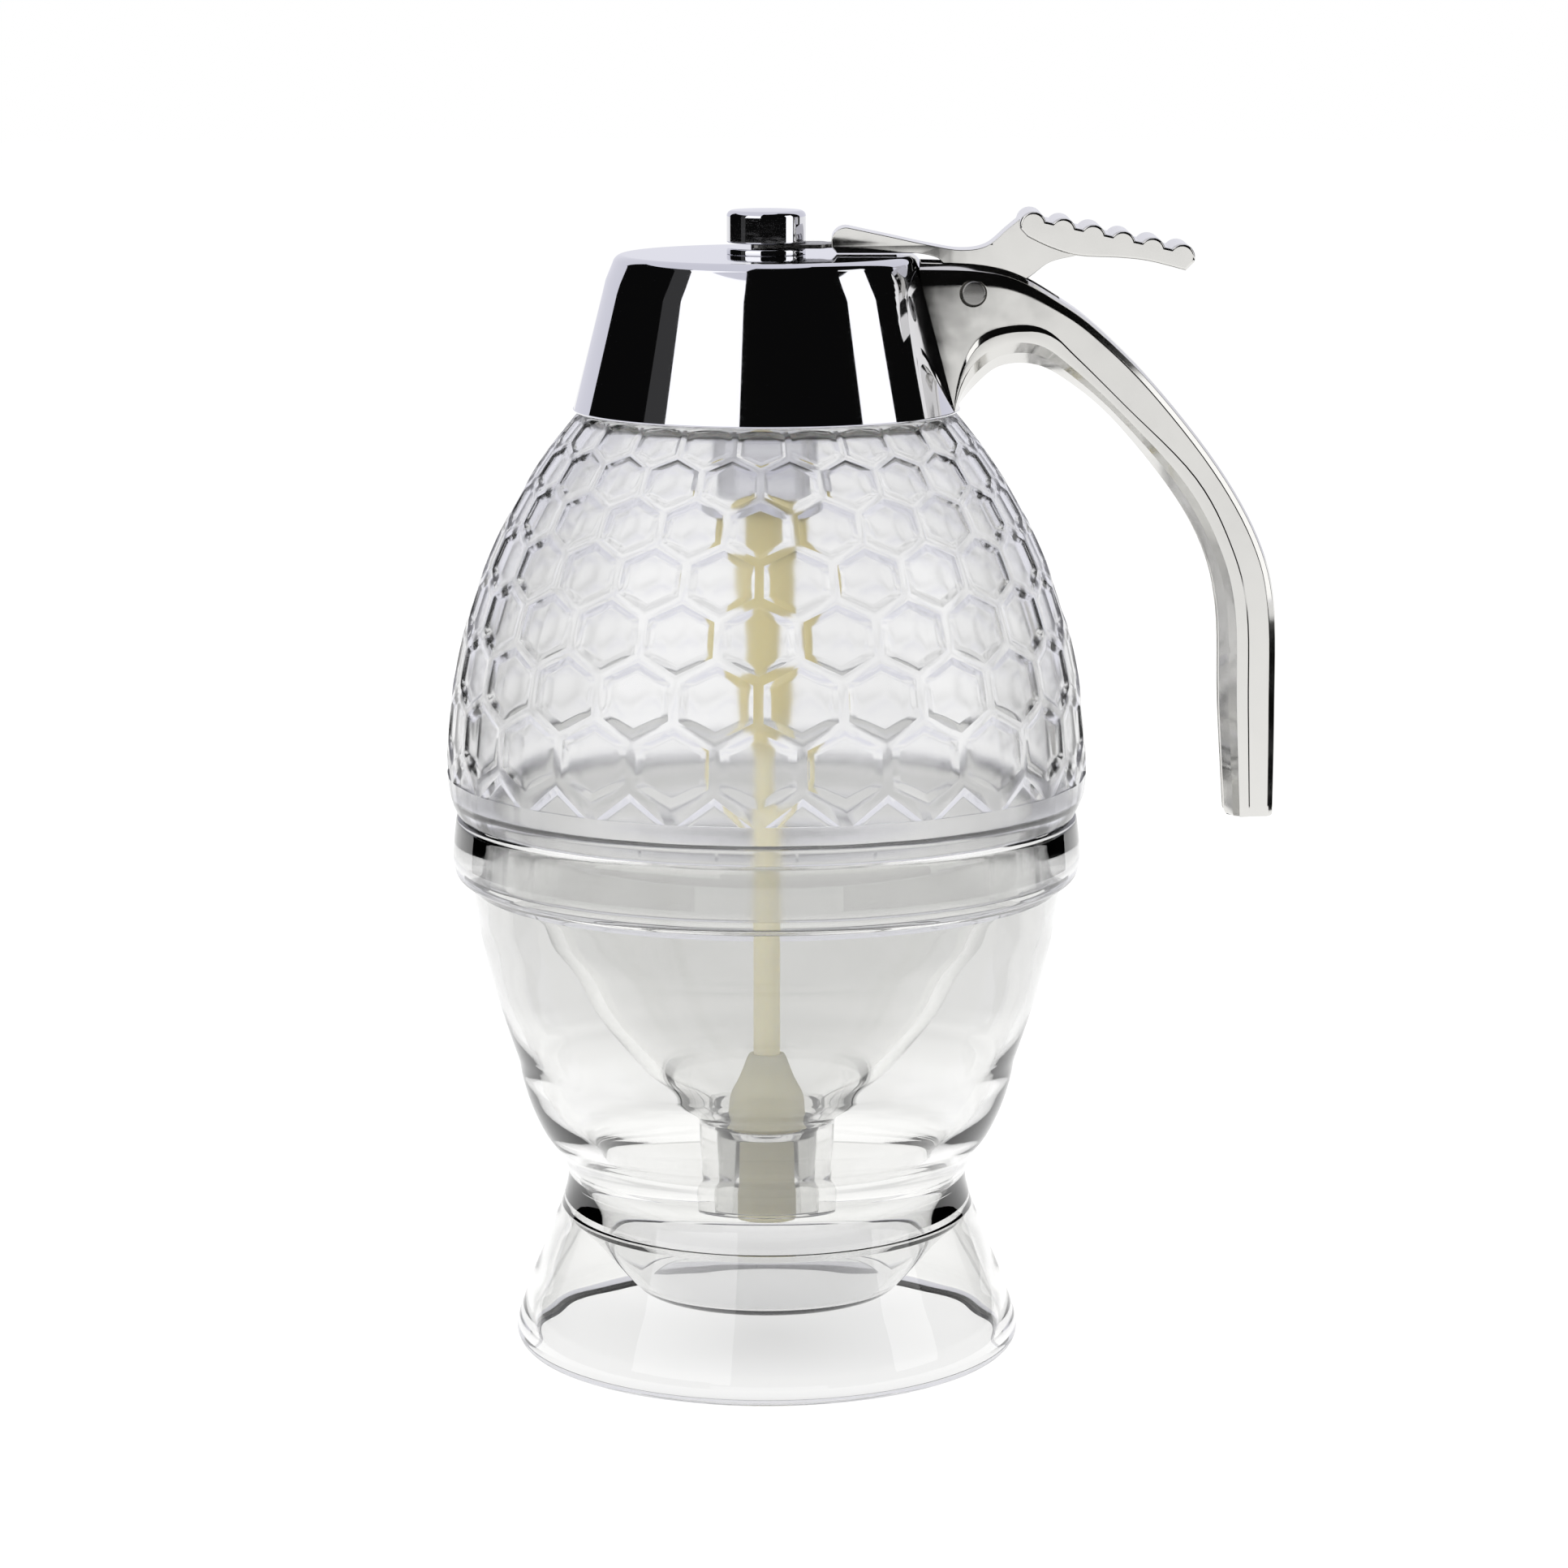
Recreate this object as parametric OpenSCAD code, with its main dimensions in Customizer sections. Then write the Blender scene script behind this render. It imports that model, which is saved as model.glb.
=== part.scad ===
// Honey dispenser: a clear jar with a honeycomb dome and a funnel bottom sits in a clear stand.
// A chrome cap carries a pistol handle. Its thumb lever lifts a sprung plunger off the outlet.
// Millimetres, +Z up, origin at the centre of the stand's foot, handle towards +X.

/* [Stand] */
// Largest radius of the foot
foot_r = 38.9; // [37:0.1:40]
// Radius of the foot's rounded lower edge
foot_edge_r = 2.5; // [1.5:0.1:3]
// Radius of the waist
waist_r = 30.8; // [29.5:0.1:32]
// Height of the waist
waist_z = 26.8; // [25:0.1:28]
// Wall of the stand
stand_wall = 2.2; // [1.8:0.1:2.4]
// Height of the rim that the jar rests on
rim_z = 83.7; // [83:0.1:84]
// Outer radius of the rim band
band_r = 48; // [47.5:0.1:49]
// Height of the rim band
band_h = 9.3; // [8:0.1:10]
// Radius of the drip dish's floor, outside
dish_r = 19.5; // [17:0.5:21]
// Height of the drip dish's floor above the table
dish_z = 8.5; // [7:0.1:9]

/* [Jar] */
// Largest radius of the dome
dome_r = 48.75; // [48:0.05:49]
// Height of the dome's largest radius
dome_mid_z = 90; // [89:0.1:91]
// Radius of the arc that the dome's outline follows
dome_arc_r = 83.65; // [80:0.05:86]
// Height of the dome's top, under the cap
dome_top_z = 144.5; // [143:0.1:144.6]
// Wall of the dome
dome_wall = 2.6; // [2.2:0.1:3]
// Outer radius of the jar's neck
neck_r = 23.2; // [23:0.1:23.4]
// Height of the top of the neck
neck_top_z = 153.5; // [152:0.1:154]
// Outer radius of the nozzle
nozzle_r = 10.5; // [10:0.1:11]
// Height of the nozzle's mouth
nozzle_z = 21.4; // [20.5:0.1:23]
// Wall of the funnel
funnel_wall = 2; // [1.6:0.1:2.2]

/* [Honeycomb] */
// Cells round the dome
cells = 24; // [20:1:28]
// Rows of cells, the half row at the dome's lower edge and the row under the cap among them
cell_rows = 9; // [9:1:9]
// Share of the pitch that a cell takes up, the rest being the web
cell_share = 0.875; // [0.8:0.005:0.92]
// Share of the pitch that a cell's flat floor takes up
floor_share = 0.69; // [0.6:0.005:0.75]
// Depth of a cell at the dome's largest radius
cell_depth = 0.55; // [0.3:0.05:0.8]
// Bearing of the middle of the front cell, in degrees
front_cell_a = -91.2; // [-97:0.1:-85]

/* [Cap] */
// Outer radius of the cap at its lower edge
cap_r = 29.2; // [29:0.1:30]
// Height of the cap's lower edge
cap_z = 144.8; // [144.7:0.1:145.5]
// Height of the cap's top
cap_top_z = 168.3; // [168:0.1:169]
// Radius that the cap loses for each millimetre of height
cap_taper = 0.256; // [0.24:0.002:0.27]
// Wall of the cap
cap_wall = 0.9; // [0.7:0.1:1]
// Outer radius of the knob and of the boss under it
knob_r = 5.95; // [5.5:0.05:6.5]
// Height of the knob
knob_h = 4.8; // [4:0.1:5]

/* [Plunger] */
// Radius of the metal stud that the knob is screwed on
stud_r = 2; // [1.8:0.05:2]
// Largest radius of the plunger's thick upper part
sleeve_r = 4.8; // [4.4:0.1:5]
// Radius of the plunger's thin rod
rod_r = 2.05; // [1.8:0.05:2.4]
// Largest radius of the stopper
stopper_r = 6.2; // [6:0.1:6.4]
// Wire of the return spring
spring_wire = 0.9; // [0.6:0.1:1]
// Mean radius of the return spring
spring_r = 4.9; // [4.7:0.1:5.2]
// Turns of the return spring
spring_turns = 7.5; // [6:0.5:8]

/* [Handle] */
// Width of the handle at the cap
handle_w = 15; // [14:0.5:16]
// Width of the handle's tail
tail_w = 11.6; // [10:0.2:13]
// Width of the lever's thumb pad
pad_w = 13; // [12:0.5:15]
// Width of the lever's arm
arm_w = 6.8; // [6:0.1:7]
// Radius of the pivot pin
pin_r = 1.8; // [1.6:0.05:2.1]
// Thickness of the lifting fork
fork_t = 0.6; // [0.4:0.05:0.6]

/* [Hidden] */
$fn = 96;
eps = 0.01;
slip = 0.06;                 // running clearance round the pin and the stud
glue = 0.1;                  // bond line between the dome and the funnel
clear_stuff = [0.86, 0.9, 0.92, 0.45];
cream = [0.87, 0.83, 0.66];
chrome = [0.78, 0.79, 0.81];
steel = [0.6, 0.6, 0.62];

// Stand and jar, where they meet
socket_r = band_r - 2.7;     // bore of the rim band
skirt_r = socket_r - 0.4;    // skirt of the dome, inside the rim band
skirt_z = rim_z - 8.3;
ledge_z = rim_z - 9.1;
funnel_top_r = skirt_r - 2;  // collar of the funnel, bonded inside the skirt
funnel_top_z = rim_z + 2.5;

// Dome arc: centre (-arc_off, dome_mid_z) in the half section
arc_off = dome_arc_r - dome_r;
border_z = dome_mid_z - 0.2; // plain border below this height
cell_a = 360 / cells;
row_u = 0.2;                 // row spacing along the dome, in radians of turn
first_row_u = -0.035;

// Lid
bush_h = 0.95;
fork_z = cap_top_z + bush_h + 0.1;
knob_z = fork_z + fork_t + 0.1;
bush_shank_r = 4;
barrel_r = 8;
barrel_z = 131;
barrel_top_z = cap_top_z - cap_wall;
spring_top_z = barrel_top_z - 2.4;
washer_z = 139.6;
washer_t = 1;
pin_x = 30.9;
pin_z = 162.9;
slot_w = arm_w + 0.4;
cone_a = atan(cap_taper);

function pick(p, i) = p[max(0, min(len(p) - 1, i))];

// Smooth curve through the points, with n steps between neighbours
function smooth(p, n) = [
    for (i = [0 : len(p) - 2]) for (s = [0 : n - 1])
        let (t = s / n, a = pick(p, i - 1), b = p[i], c = p[i + 1], d = pick(p, i + 2))
            (2 * b + (c - a) * t + (2 * a - 5 * b + 4 * c - d) * t * t
             + (3 * b - a - 3 * c + d) * t * t * t) / 2,
    p[len(p) - 1]
];

function reversed(p) = [for (i = [len(p) - 1 : -1 : 0]) p[i]];

// Arc round c from angle a to angle b
function arc(c, r, a, b, n) = [
    for (i = [0 : n]) let (t = a + (b - a) * i / n) [c[0] + r * cos(t), c[1] + r * sin(t)]
];

// Radius of the dome at a height, d millimetres under its surface
function dome_at(z, d) = sqrt(pow(dome_arc_r - d, 2) - pow(z - dome_mid_z, 2)) - arc_off;

// Outer radius of the cap's side at a height
function cap_at(z) = cap_r - cap_taper * (z - cap_z);

module revolved(p) {
    rotate_extrude() polygon(p);
}

module ring(z, h, r_out, r_in) {
    difference() {
        translate([0, 0, z]) cylinder(r = r_out, h = h);
        translate([0, 0, z - 1]) cylinder(r = r_in, h = h + 2);
    }
}

// ---- Stand: foot, drip dish, waist, bowl and rim band in one moulding ----

module stand() {
    flank = [[foot_r - 0.3, foot_edge_r + 1.6], [foot_r - 2.2, 9.6], [foot_r - 4.1, 14.3],
             [foot_r - 5.9, 19], [waist_r + 0.75, waist_z - 4], [waist_r, waist_z],
             [waist_r + 1.1, 30.4], [waist_r + 3.6, 33.8], [waist_r + 5.6, 38],
             [waist_r + 6.8, 41.8], [waist_r + 7.35, 44.6]];
    bowl = [[waist_r + 7.5, 45.3], [band_r - 7.6, 51.6], [band_r - 5.8, 57.7],
            [band_r - 4.3, 63.9], [band_r - 3.4, 69], [band_r - 3.05, rim_z - band_h - 2]];
    band = [[band_r - 2.2, rim_z - band_h - 1.1], [band_r - 0.6, rim_z - band_h],
            [band_r - 0.05, rim_z - 7.3], [band_r - 0.1, rim_z - 5], [band_r - 0.4, rim_z - 2],
            [band_r - 0.7, rim_z - 0.6], [band_r - 1.6, rim_z]];
    inside = [[band_r - 5.25, ledge_z - 2.5], [band_r - 5.7, 67], [band_r - 6.7, 62],
              [band_r - 8.1, 56], [band_r - 9.9, 50.3], [waist_r + 5.5, 45.6],
              [waist_r + 4.6, 42], [waist_r + 3.2, 38.4], [waist_r + 1, 34.8],
              [waist_r - 1.2, 31.8], [waist_r - stand_wall, 28.4]];
    dish_top_r = waist_r - stand_wall;
    dish_slope = 1.13;
    floor_t = 1.6;
    dish_in_r = dish_r - 1.2;
    skirt_in = [[waist_r - 0.8, 20.8], [waist_r + 0.7, 15], [waist_r + 2.3, 10],
                [foot_r - 4.3, 5], [foot_r - 3.9, 1], [foot_r - 3.6, 0]];
    color(clear_stuff) revolved(concat(
        arc([foot_r - foot_edge_r, foot_edge_r], foot_edge_r, -90, 8, 5),
        smooth(flank, 2), smooth(bowl, 2), smooth(band, 2),
        [[socket_r, rim_z], [socket_r, ledge_z], [band_r - 5.2, ledge_z]],
        smooth(inside, 2),
        [[dish_top_r, dish_z + floor_t + (dish_top_r - dish_in_r) * dish_slope],
         [dish_in_r, dish_z + floor_t], [0, dish_z + floor_t], [0, dish_z], [dish_r, dish_z],
         [waist_r - 1.6, dish_z + (waist_r - 1.6 - dish_r) * dish_slope]],
        skirt_in));
}

// ---- Jar dome: honeycomb cells cut into the dome, over a plain border and a skirt ----
// The cells keep their shape because both axes of the pattern are angles: one round the dome,
// the other the climb along its arc divided by the radius there, which has a closed form.

wrap_k = arc_off / dome_arc_r;
function tanh(x) = (exp(x) - exp(-x)) / (exp(x) + exp(-x));
function climb_a(u) =
    2 * atan(sqrt((1 - wrap_k) / (1 + wrap_k)) * tanh(u * sqrt(1 - wrap_k * wrap_k) / 2));

// Point at bearing a and climb u, d under the dome's surface
function on_dome(a, u, d) =
    let (p = climb_a(u), r = (dome_arc_r - d) * cos(p) - arc_off)
        [r * cos(a), r * sin(a), dome_mid_z + (dome_arc_r - d) * sin(p)];

// Corner k of a cell, clockwise from its top. The half row's cells are cut down to triangles.
function corner(i, j, k, share) =
    let (u = first_row_u + j * row_u, lean = (j == 0 && (k == 1 || k == 5)) ? 0.5 : 1)
        [front_cell_a + (i + (j % 2 == 0 ? 0.5 : 0)) * cell_a
             + share * cell_a / sqrt(3) * sin(60 * k),
         u + lean * share * row_u * 2 / 3 * cos(60 * k)];

function cell_points(i, j) = [
    for (share = [cell_share, floor_share]) for (k = [0 : 5])
        let (c = corner(i, j, k, share),
             sink = share == floor_share ? cell_depth * cos(climb_a(c[1])) : 0)
            on_dome(c[0], c[1], sink)
];

// Number of a point: corner k of the cell i in row j, on its edge or on its floor
function num(i, j, k, low = 0) = 12 * (cells * j + (i + cells) % cells) + 6 * low + k % 6;

// A cell's floor, its six bevels, and the webs to its right-hand and upper neighbours
function cell_faces(i, j) =
    let (right = i + 1, up_r = j % 2 == 0 ? i + 1 : i, up_l = up_r - 1) concat(
        [for (f = [[0, 1, 5], [1, 2, 4], [1, 4, 5], [2, 3, 4]]) [for (k = f) num(i, j, k, 1)]],
        [for (k = [0 : 5]) [num(i, j, k), num(i, j, k + 1), num(i, j, k + 1, 1)]],
        [for (k = [0 : 5]) [num(i, j, k), num(i, j, k + 1, 1), num(i, j, k, 1)]],
        [[num(i, j, 1), num(right, j, 5), num(right, j, 4)],
         [num(i, j, 1), num(right, j, 4), num(i, j, 2)]],
        j == cell_rows - 1 ? [] :
        [[num(i, j, 0), num(up_r, j + 1, 4), num(up_r, j + 1, 3)],
         [num(i, j, 0), num(up_r, j + 1, 3), num(i, j, 1)],
         [num(i, j, 5), num(up_l, j + 1, 3), num(up_l, j + 1, 2)],
         [num(i, j, 5), num(up_l, j + 1, 2), num(i, j, 0)],
         [num(i, j, 0), num(up_l, j + 1, 2), num(up_r, j + 1, 4)],
         [num(i, j, 1), num(up_r, j + 1, 3), num(right, j, 5)]]);

// Closed body with the honeycomb on its side and a point at each end
module honeycomb_body() {
    top = cell_rows - 1;
    low_tip = 12 * cells * cell_rows;
    points = concat(
        [for (j = [0 : top]) for (i = [0 : cells - 1]) each cell_points(i, j)],
        [[0, 0, border_z - 12], [0, 0, dome_top_z + 8]]);
    faces = concat(
        [for (j = [0 : top]) for (i = [0 : cells - 1]) each cell_faces(i, j)],
        [for (i = [0 : cells - 1]) each [
            [num(i, 0, 4), num(i, 0, 3), low_tip],
            [num(i, 0, 3), num(i, 0, 2), low_tip],
            [num(i, 0, 2), num(i + 1, 0, 4), low_tip],
            [num(i, top, 0), num(i, top, 5), low_tip + 1],
            [num(i, top, 1), num(i, top, 0), low_tip + 1],
            [num(i + 1, top, 5), num(i, top, 1), low_tip + 1]]]);
    polyhedron(points, faces);
}

module jar_dome() {
    inner_low_z = rim_z + 4.3;
    inner_top_z = dome_top_z - 3.2;
    neck_in_r = neck_r - 2;
    skirt_in_r = funnel_top_r + glue;
    inner = [for (z = [inner_low_z : (inner_top_z - inner_low_z) / 12 : inner_top_z + eps])
             [dome_at(z, dome_wall), z]];
    color(clear_stuff) difference() {
        union() {
            intersection() {
                honeycomb_body();
                ring(border_z, dome_top_z - border_z, 2 * dome_r, 10);
            }
            revolved(concat(
                [[skirt_in_r - 8, border_z + eps], [skirt_in_r - 8, skirt_z], [skirt_r, skirt_z],
                 [skirt_r, rim_z], [dome_r - 1.9, rim_z]],
                smooth([[dome_r - 1.5, rim_z + 0.2], [dome_r - 1, rim_z + 1.2],
                        [dome_r - 0.4, rim_z + 2.8], [dome_at(border_z - 1.6, 0.1), border_z - 1.6],
                        [dome_at(border_z, 0.02), border_z + eps]], 2)));
            ring(dome_top_z - 2, neck_top_z - dome_top_z + 2, neck_r, 10);
        }
        revolved(concat(
            [[0, skirt_z - 1], [skirt_in_r, skirt_z - 1], [skirt_in_r, funnel_top_z + 0.2],
             [skirt_in_r + 0.4, funnel_top_z + 0.4]],
            inner,
            [[neck_in_r, inner_top_z + 0.8], [neck_in_r, neck_top_z + 1], [0, neck_top_z + 1]]));
    }
}

// ---- Funnel with the nozzle, and the seat sleeve inside the nozzle ----

seat_r = nozzle_r - 2.5;
seat_top_z = 33.9;
seat_bore_r = 5.1;

module jar_funnel() {
    outside = [[funnel_top_r - 0.3, rim_z - 1.1], [40.2, 78], [35.2, 68.6], [30.6, 60.3],
               [25, 51.3], [19.4, 43.6], [nozzle_r + 2.6, 36.9], [nozzle_r + 0.2, 34.7]];
    w = funnel_wall;
    inside = [[seat_r + 2.4, 37.5], [19.4 - 1.35 * w, 43.6], [25 - 1.2 * w, 51.3],
              [30.6 - 1.15 * w, 60.3], [35.2 - 1.1 * w, 68.6], [40.2 - 1.1 * w, 78],
              [funnel_top_r - 0.3 - w, rim_z - 1.1]];
    color(clear_stuff) revolved(concat(
        [[funnel_top_r - w, funnel_top_z], [funnel_top_r, funnel_top_z],
         [funnel_top_r, rim_z - 0.5]],
        smooth(outside, 2),
        [[nozzle_r, 33.8], [nozzle_r, nozzle_z + 0.6], [nozzle_r - 0.6, nozzle_z],
         [seat_r - 1.5, nozzle_z], [seat_r - 1.5, nozzle_z + 1.2], [seat_r, nozzle_z + 1.2],
         [seat_r, seat_top_z + 1.4]],
        smooth(inside, 2)));
}

module outlet_seat() {
    color(clear_stuff) revolved([
        [seat_bore_r, nozzle_z + 1.2], [seat_r - 0.05, nozzle_z + 1.2],
        [seat_r - 0.05, seat_top_z], [seat_r - 0.6, seat_top_z], [seat_bore_r, 31.6]]);
}

// ---- Lid ----

module lid_gasket() {
    color(cream) ring(neck_top_z, 1.5, neck_r + 0.9, neck_r - 2);
}

module cap_shell() {
    corner_r = 1.6;
    top_r = cap_at(cap_top_z);
    w = cap_wall;
    edge = arc([top_r - corner_r - 0.05, cap_top_z - corner_r], corner_r, cone_a, 90, 5);
    color(chrome) difference() {
        revolved(concat(
            [[bush_shank_r, barrel_top_z], [cap_at(barrel_top_z) - w - 0.6, barrel_top_z],
             [cap_at(barrel_top_z - 0.6) - w, barrel_top_z - 0.6], [cap_r - w, cap_z],
             [cap_r - 0.3, cap_z], [cap_at(cap_z + 0.4), cap_z + 0.4]],
            edge, [[bush_shank_r, cap_top_z]]));
        screw_places() cylinder(r = screw_r + 0.05, h = 8, center = true);
    }
}

module cap_liner() {
    bore_r = neck_r + 1.2;
    foot_z = cap_z + 0.5;
    roof_z = neck_top_z + 1.6;
    top_z = roof_z + 1.5;
    shell_in = function(z) cap_at(z) - cap_wall - 0.05;
    color([0.93, 0.93, 0.93]) revolved([
        [bore_r, foot_z], [shell_in(foot_z), foot_z], [shell_in(top_z), top_z],
        [barrel_r + 1, top_z], [barrel_r + 1, roof_z], [bore_r, roof_z]]);
}

// Two screws hold the handle from inside the cap, one in each cheek
screw_r = 1.2;
screw_z = 161.2;
screw_y = 5.5;

module screw_places() {
    for (s = [-1, 1])
        translate([sqrt(pow(cap_at(screw_z), 2) - pow(screw_y, 2)), s * screw_y, screw_z])
            rotate([0, 90 - cone_a, 0]) children();
}

module handle_screws() {
    head_in = 1.7;
    color(steel) screw_places() {
        translate([0, 0, -head_in]) cylinder(r = screw_r, h = 5.6);
        translate([0, 0, -head_in - 1.3]) cylinder(r = 2.1, h = 1.3);
    }
}

// ---- Handle: a loft between an outer and an inner spine, crease and rounded edges included ----

handle_out = [[22.4, 167.3], [31.1, 166.9], [37.2, 165.5], [43.4, 162.1], [49.5, 157.7],
              [58.2, 149.1], [68, 136.8], [74.3, 125.7], [76.9, 115.5], [77.3, 100], [77.2, 83.4]];
handle_in = [[28.2, 144.9], [31.3, 148.5], [34.9, 151.4], [39.8, 151.8], [44.5, 149.8],
             [51.8, 143.9], [60.6, 133.2], [65.9, 124], [68.2, 114.5], [68.7, 100], [69.8, 83.2]];
// Share of the depth at which the crease lies, at each point of the spines: it starts in the
// corner under the cap, climbs along the cap and bends over into the handle
crease = [[0.97], [0.61], [0.535], [0.455], [0.575], [0.64], [0.46], [0.5], [0.49], [0.49], [0.5]];
// Section from the outer edge to the inner one: share of the depth, share of the half width.
// The crease is at section_crease here and moves to its own share at each station.
section_crease = 0.6;
handle_section = [[0, 0.55], [0.05, 0.86], [0.16, 1], [section_crease, 1], [0.64, 0.92],
                  [0.86, 0.88], [1, 0.42]];

function creased(q, share) =
    q < section_crease ? q : 1 - (1 - q) * (1 - share) / (1 - section_crease);

module handle_loft() {
    out = smooth(handle_out, 3);
    in = smooth(handle_in, 3);
    shares = smooth(crease, 3);
    last = len(out) - 1;
    half = concat(handle_section, [for (q = reversed(handle_section)) [q[0], -q[1]]]);
    m = len(half);
    points = [for (s = [0 : last]) for (q = half)
        let (p = out[s] + (in[s] - out[s]) * creased(q[0], shares[s][0]),
             w = (handle_w + (tail_w - handle_w) * min(1, s / 18)) / 2)
            [p[0], q[1] * w, p[1]]];
    sides = [for (s = [0 : last - 1]) for (k = [0 : m - 1])
        let (a = s * m + k, b = s * m + (k + 1) % m)
            each [[a, b, b + m], [a, b + m, a + m]]];
    polyhedron(points, concat(sides,
        [[for (k = [m - 1 : -1 : 0]) k]], [[for (k = [0 : m - 1]) last * m + k]]));
}

module handle() {
    slot = [[24.6, 172], [27.2, 157.6], [39.2, 157.6], [46.5, 163.5], [46.5, 172]];
    color(chrome) difference() {
        handle_loft();
        // the face that fits the cap's cone
        translate([0, 0, cap_z - 3]) cylinder(r1 = cap_at(cap_z - 3) + 0.05,
                                              r2 = cap_at(cap_top_z + 3) + 0.05,
                                              h = cap_top_z - cap_z + 6);
        // the slot between the cheeks, for the lever
        translate([0, slot_w / 2, 0]) rotate([90, 0, 0]) linear_extrude(slot_w) polygon(slot);
        translate([pin_x, 0, pin_z]) rotate([90, 0, 0])
            cylinder(r = pin_r + 0.02, h = handle_w + 2, center = true);
        screw_places() cylinder(r = screw_r + 0.03, h = 9, center = true);
    }
}

module pivot_pin() {
    color(steel) translate([pin_x, 0, pin_z]) rotate([90, 0, 0])
        cylinder(r = pin_r, h = handle_w - 0.3, center = true);
}

module guide_bush() {
    shank_z = spring_top_z + 0.1;
    color(chrome) difference() {
        union() {
            translate([0, 0, cap_top_z]) cylinder(r = knob_r, h = bush_h);
            translate([0, 0, shank_z]) cylinder(r = bush_shank_r - 0.02, h = cap_top_z - shank_z);
        }
        translate([0, 0, shank_z - 1]) cylinder(r = stud_r + slip, h = 9);
    }
}

// Tube under the cap for the spring, with a turned-in lip at its mouth
module spring_barrel() {
    bore_r = barrel_r - 1.1;
    lip_t = 1.2;
    color(steel) revolved([
        [bush_shank_r, barrel_top_z], [barrel_r, barrel_top_z], [barrel_r, barrel_z + 0.5],
        [barrel_r - 0.5, barrel_z], [sleeve_r + 0.4, barrel_z], [sleeve_r + 0.4, barrel_z + lip_t],
        [bore_r, barrel_z + lip_t], [bore_r, spring_top_z], [bush_shank_r, spring_top_z]]);
}

// ---- Plunger ----

// Rings of the spring's wire: [bearing, height, tilt]. A straight end, a quarter bend, the turns,
// and the same at the top.
spring_base_z = washer_z + washer_t;
bend = spring_wire;
turns_z0 = spring_base_z + spring_wire + bend;
turns_z1 = spring_top_z - spring_wire - bend;
bend_a = bend / spring_r * 180 / PI;
steps = 8 * spring_turns;
spring_rings = concat(
    [[-bend_a, spring_base_z, 90], [-bend_a, spring_base_z + spring_wire, 90],
     [-0.7 * bend_a, turns_z0 - 0.3 * bend, 45]],
    [for (i = [0 : steps]) [360 * spring_turns * i / steps,
                            turns_z0 + (turns_z1 - turns_z0) * i / steps, 0]],
    [[360 * spring_turns + 0.7 * bend_a, turns_z1 + 0.3 * bend, 45],
     [360 * spring_turns + bend_a, spring_top_z - spring_wire, 90],
     [360 * spring_turns + bend_a, spring_top_z, 90]]);

function wire_mid(q) = [spring_r * cos(q[0]), spring_r * sin(q[0]), q[1]];

// Point at bearing b of the wire's own section
function wire_point(q, b) =
    let (w = spring_wire / 2, radial = [cos(q[0]), sin(q[0]), 0],
         along = [-sin(q[0]), cos(q[0]), 0],
         up = cos(q[2]) * [0, 0, 1] - sin(q[2]) * along)
        wire_mid(q) + w * (cos(b) * radial + sin(b) * up);

spring_gap = min([for (i = [0 : len(spring_rings) - 7]) for (j = [i + 6 : len(spring_rings) - 1])
                  norm(wire_mid(spring_rings[i]) - wire_mid(spring_rings[j]))]) - spring_wire;

module return_spring() {
    sides = 6;
    n = len(spring_rings);
    echo(spring_gap_mm = spring_gap);
    points = [for (q = spring_rings) for (k = [0 : sides - 1]) wire_point(q, -k * 360 / sides)];
    walls = [for (i = [0 : n - 2]) for (k = [0 : sides - 1])
        let (a = i * sides + k, b = i * sides + (k + 1) % sides)
            each [[a, b, b + sides], [a, b + sides, a + sides]]];
    color(steel) polyhedron(points, concat(walls,
        [for (k = [1 : sides - 2]) [0, k + 1, k]],
        [for (k = [1 : sides - 2]) [(n - 1) * sides, (n - 1) * sides + k,
                                    (n - 1) * sides + k + 1]]));
}

module spring_washer() {
    color(steel) ring(washer_z, washer_t, barrel_r - 1.5, stud_r + 0.1);
}

module plunger_stud() {
    color(steel) translate([0, 0, washer_z - 6]) cylinder(r = stud_r, h = knob_z + 3.4 - washer_z + 6);
}

module knob() {
    top_z = knob_z + knob_h;
    round_r = 0.9;
    color(chrome) revolved(concat(
        [[0, knob_z + 3.5], [stud_r + 0.03, knob_z + 3.5], [stud_r + 0.03, knob_z],
         [knob_r, knob_z]],
        arc([knob_r - round_r, top_z - round_r], round_r, 0, 90, 5),
        [[0, top_z + 0.15]]));
}

module plunger_rod() {
    thick_z = 97;
    hole_z = washer_z - 6.2;
    side = [[sleeve_r - 0.1, 131], [3.95, 113], [3.6, 102], [3.2, thick_z]];
    color(cream) difference() {
        revolved(concat([[0, washer_z], [sleeve_r, washer_z], [sleeve_r, 133]], side,
            [[rod_r + 0.2, thick_z - 3.5], [rod_r, thick_z - 5], [rod_r, 37], [0, 37]]));
        translate([0, 0, hole_z]) cylinder(r = stud_r + 0.03, h = 8);
    }
}

module stopper() {
    bell = [[stopper_r - 3.1, 45], [stopper_r - 2.3, 42.6], [stopper_r - 1, 39.4],
            [stopper_r - 0.2, 36.6], [stopper_r, 35.2]];
    nose_r = seat_bore_r - 0.7;
    tip_z = nozzle_z - 3.9;
    color([0.9, 0.88, 0.77]) revolved(concat(
        [[0, 36.8], [rod_r + 0.03, 36.8], [rod_r + 0.03, 46], [stopper_r - 3.5, 46]],
        smooth(bell, 2),
        [[stopper_r - 0.1, 34.3], [nose_r, 32], [nose_r, tip_z + 1.2], [nose_r - 0.4, tip_z + 0.3],
         [nose_r - 1.2, tip_z], [0, tip_z]]));
}

// ---- Thumb lever, its lifting fork and the rivets between them ----

pad_from = [39.7, 173];
pad_to = [61.9, 168.2];
ridges = 6;
ridge_r = 2;

// The arm is a channel: its flanges hang down on both sides of the fork, just clear of the cap
flange_z = cap_top_z + 0.3;

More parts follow.
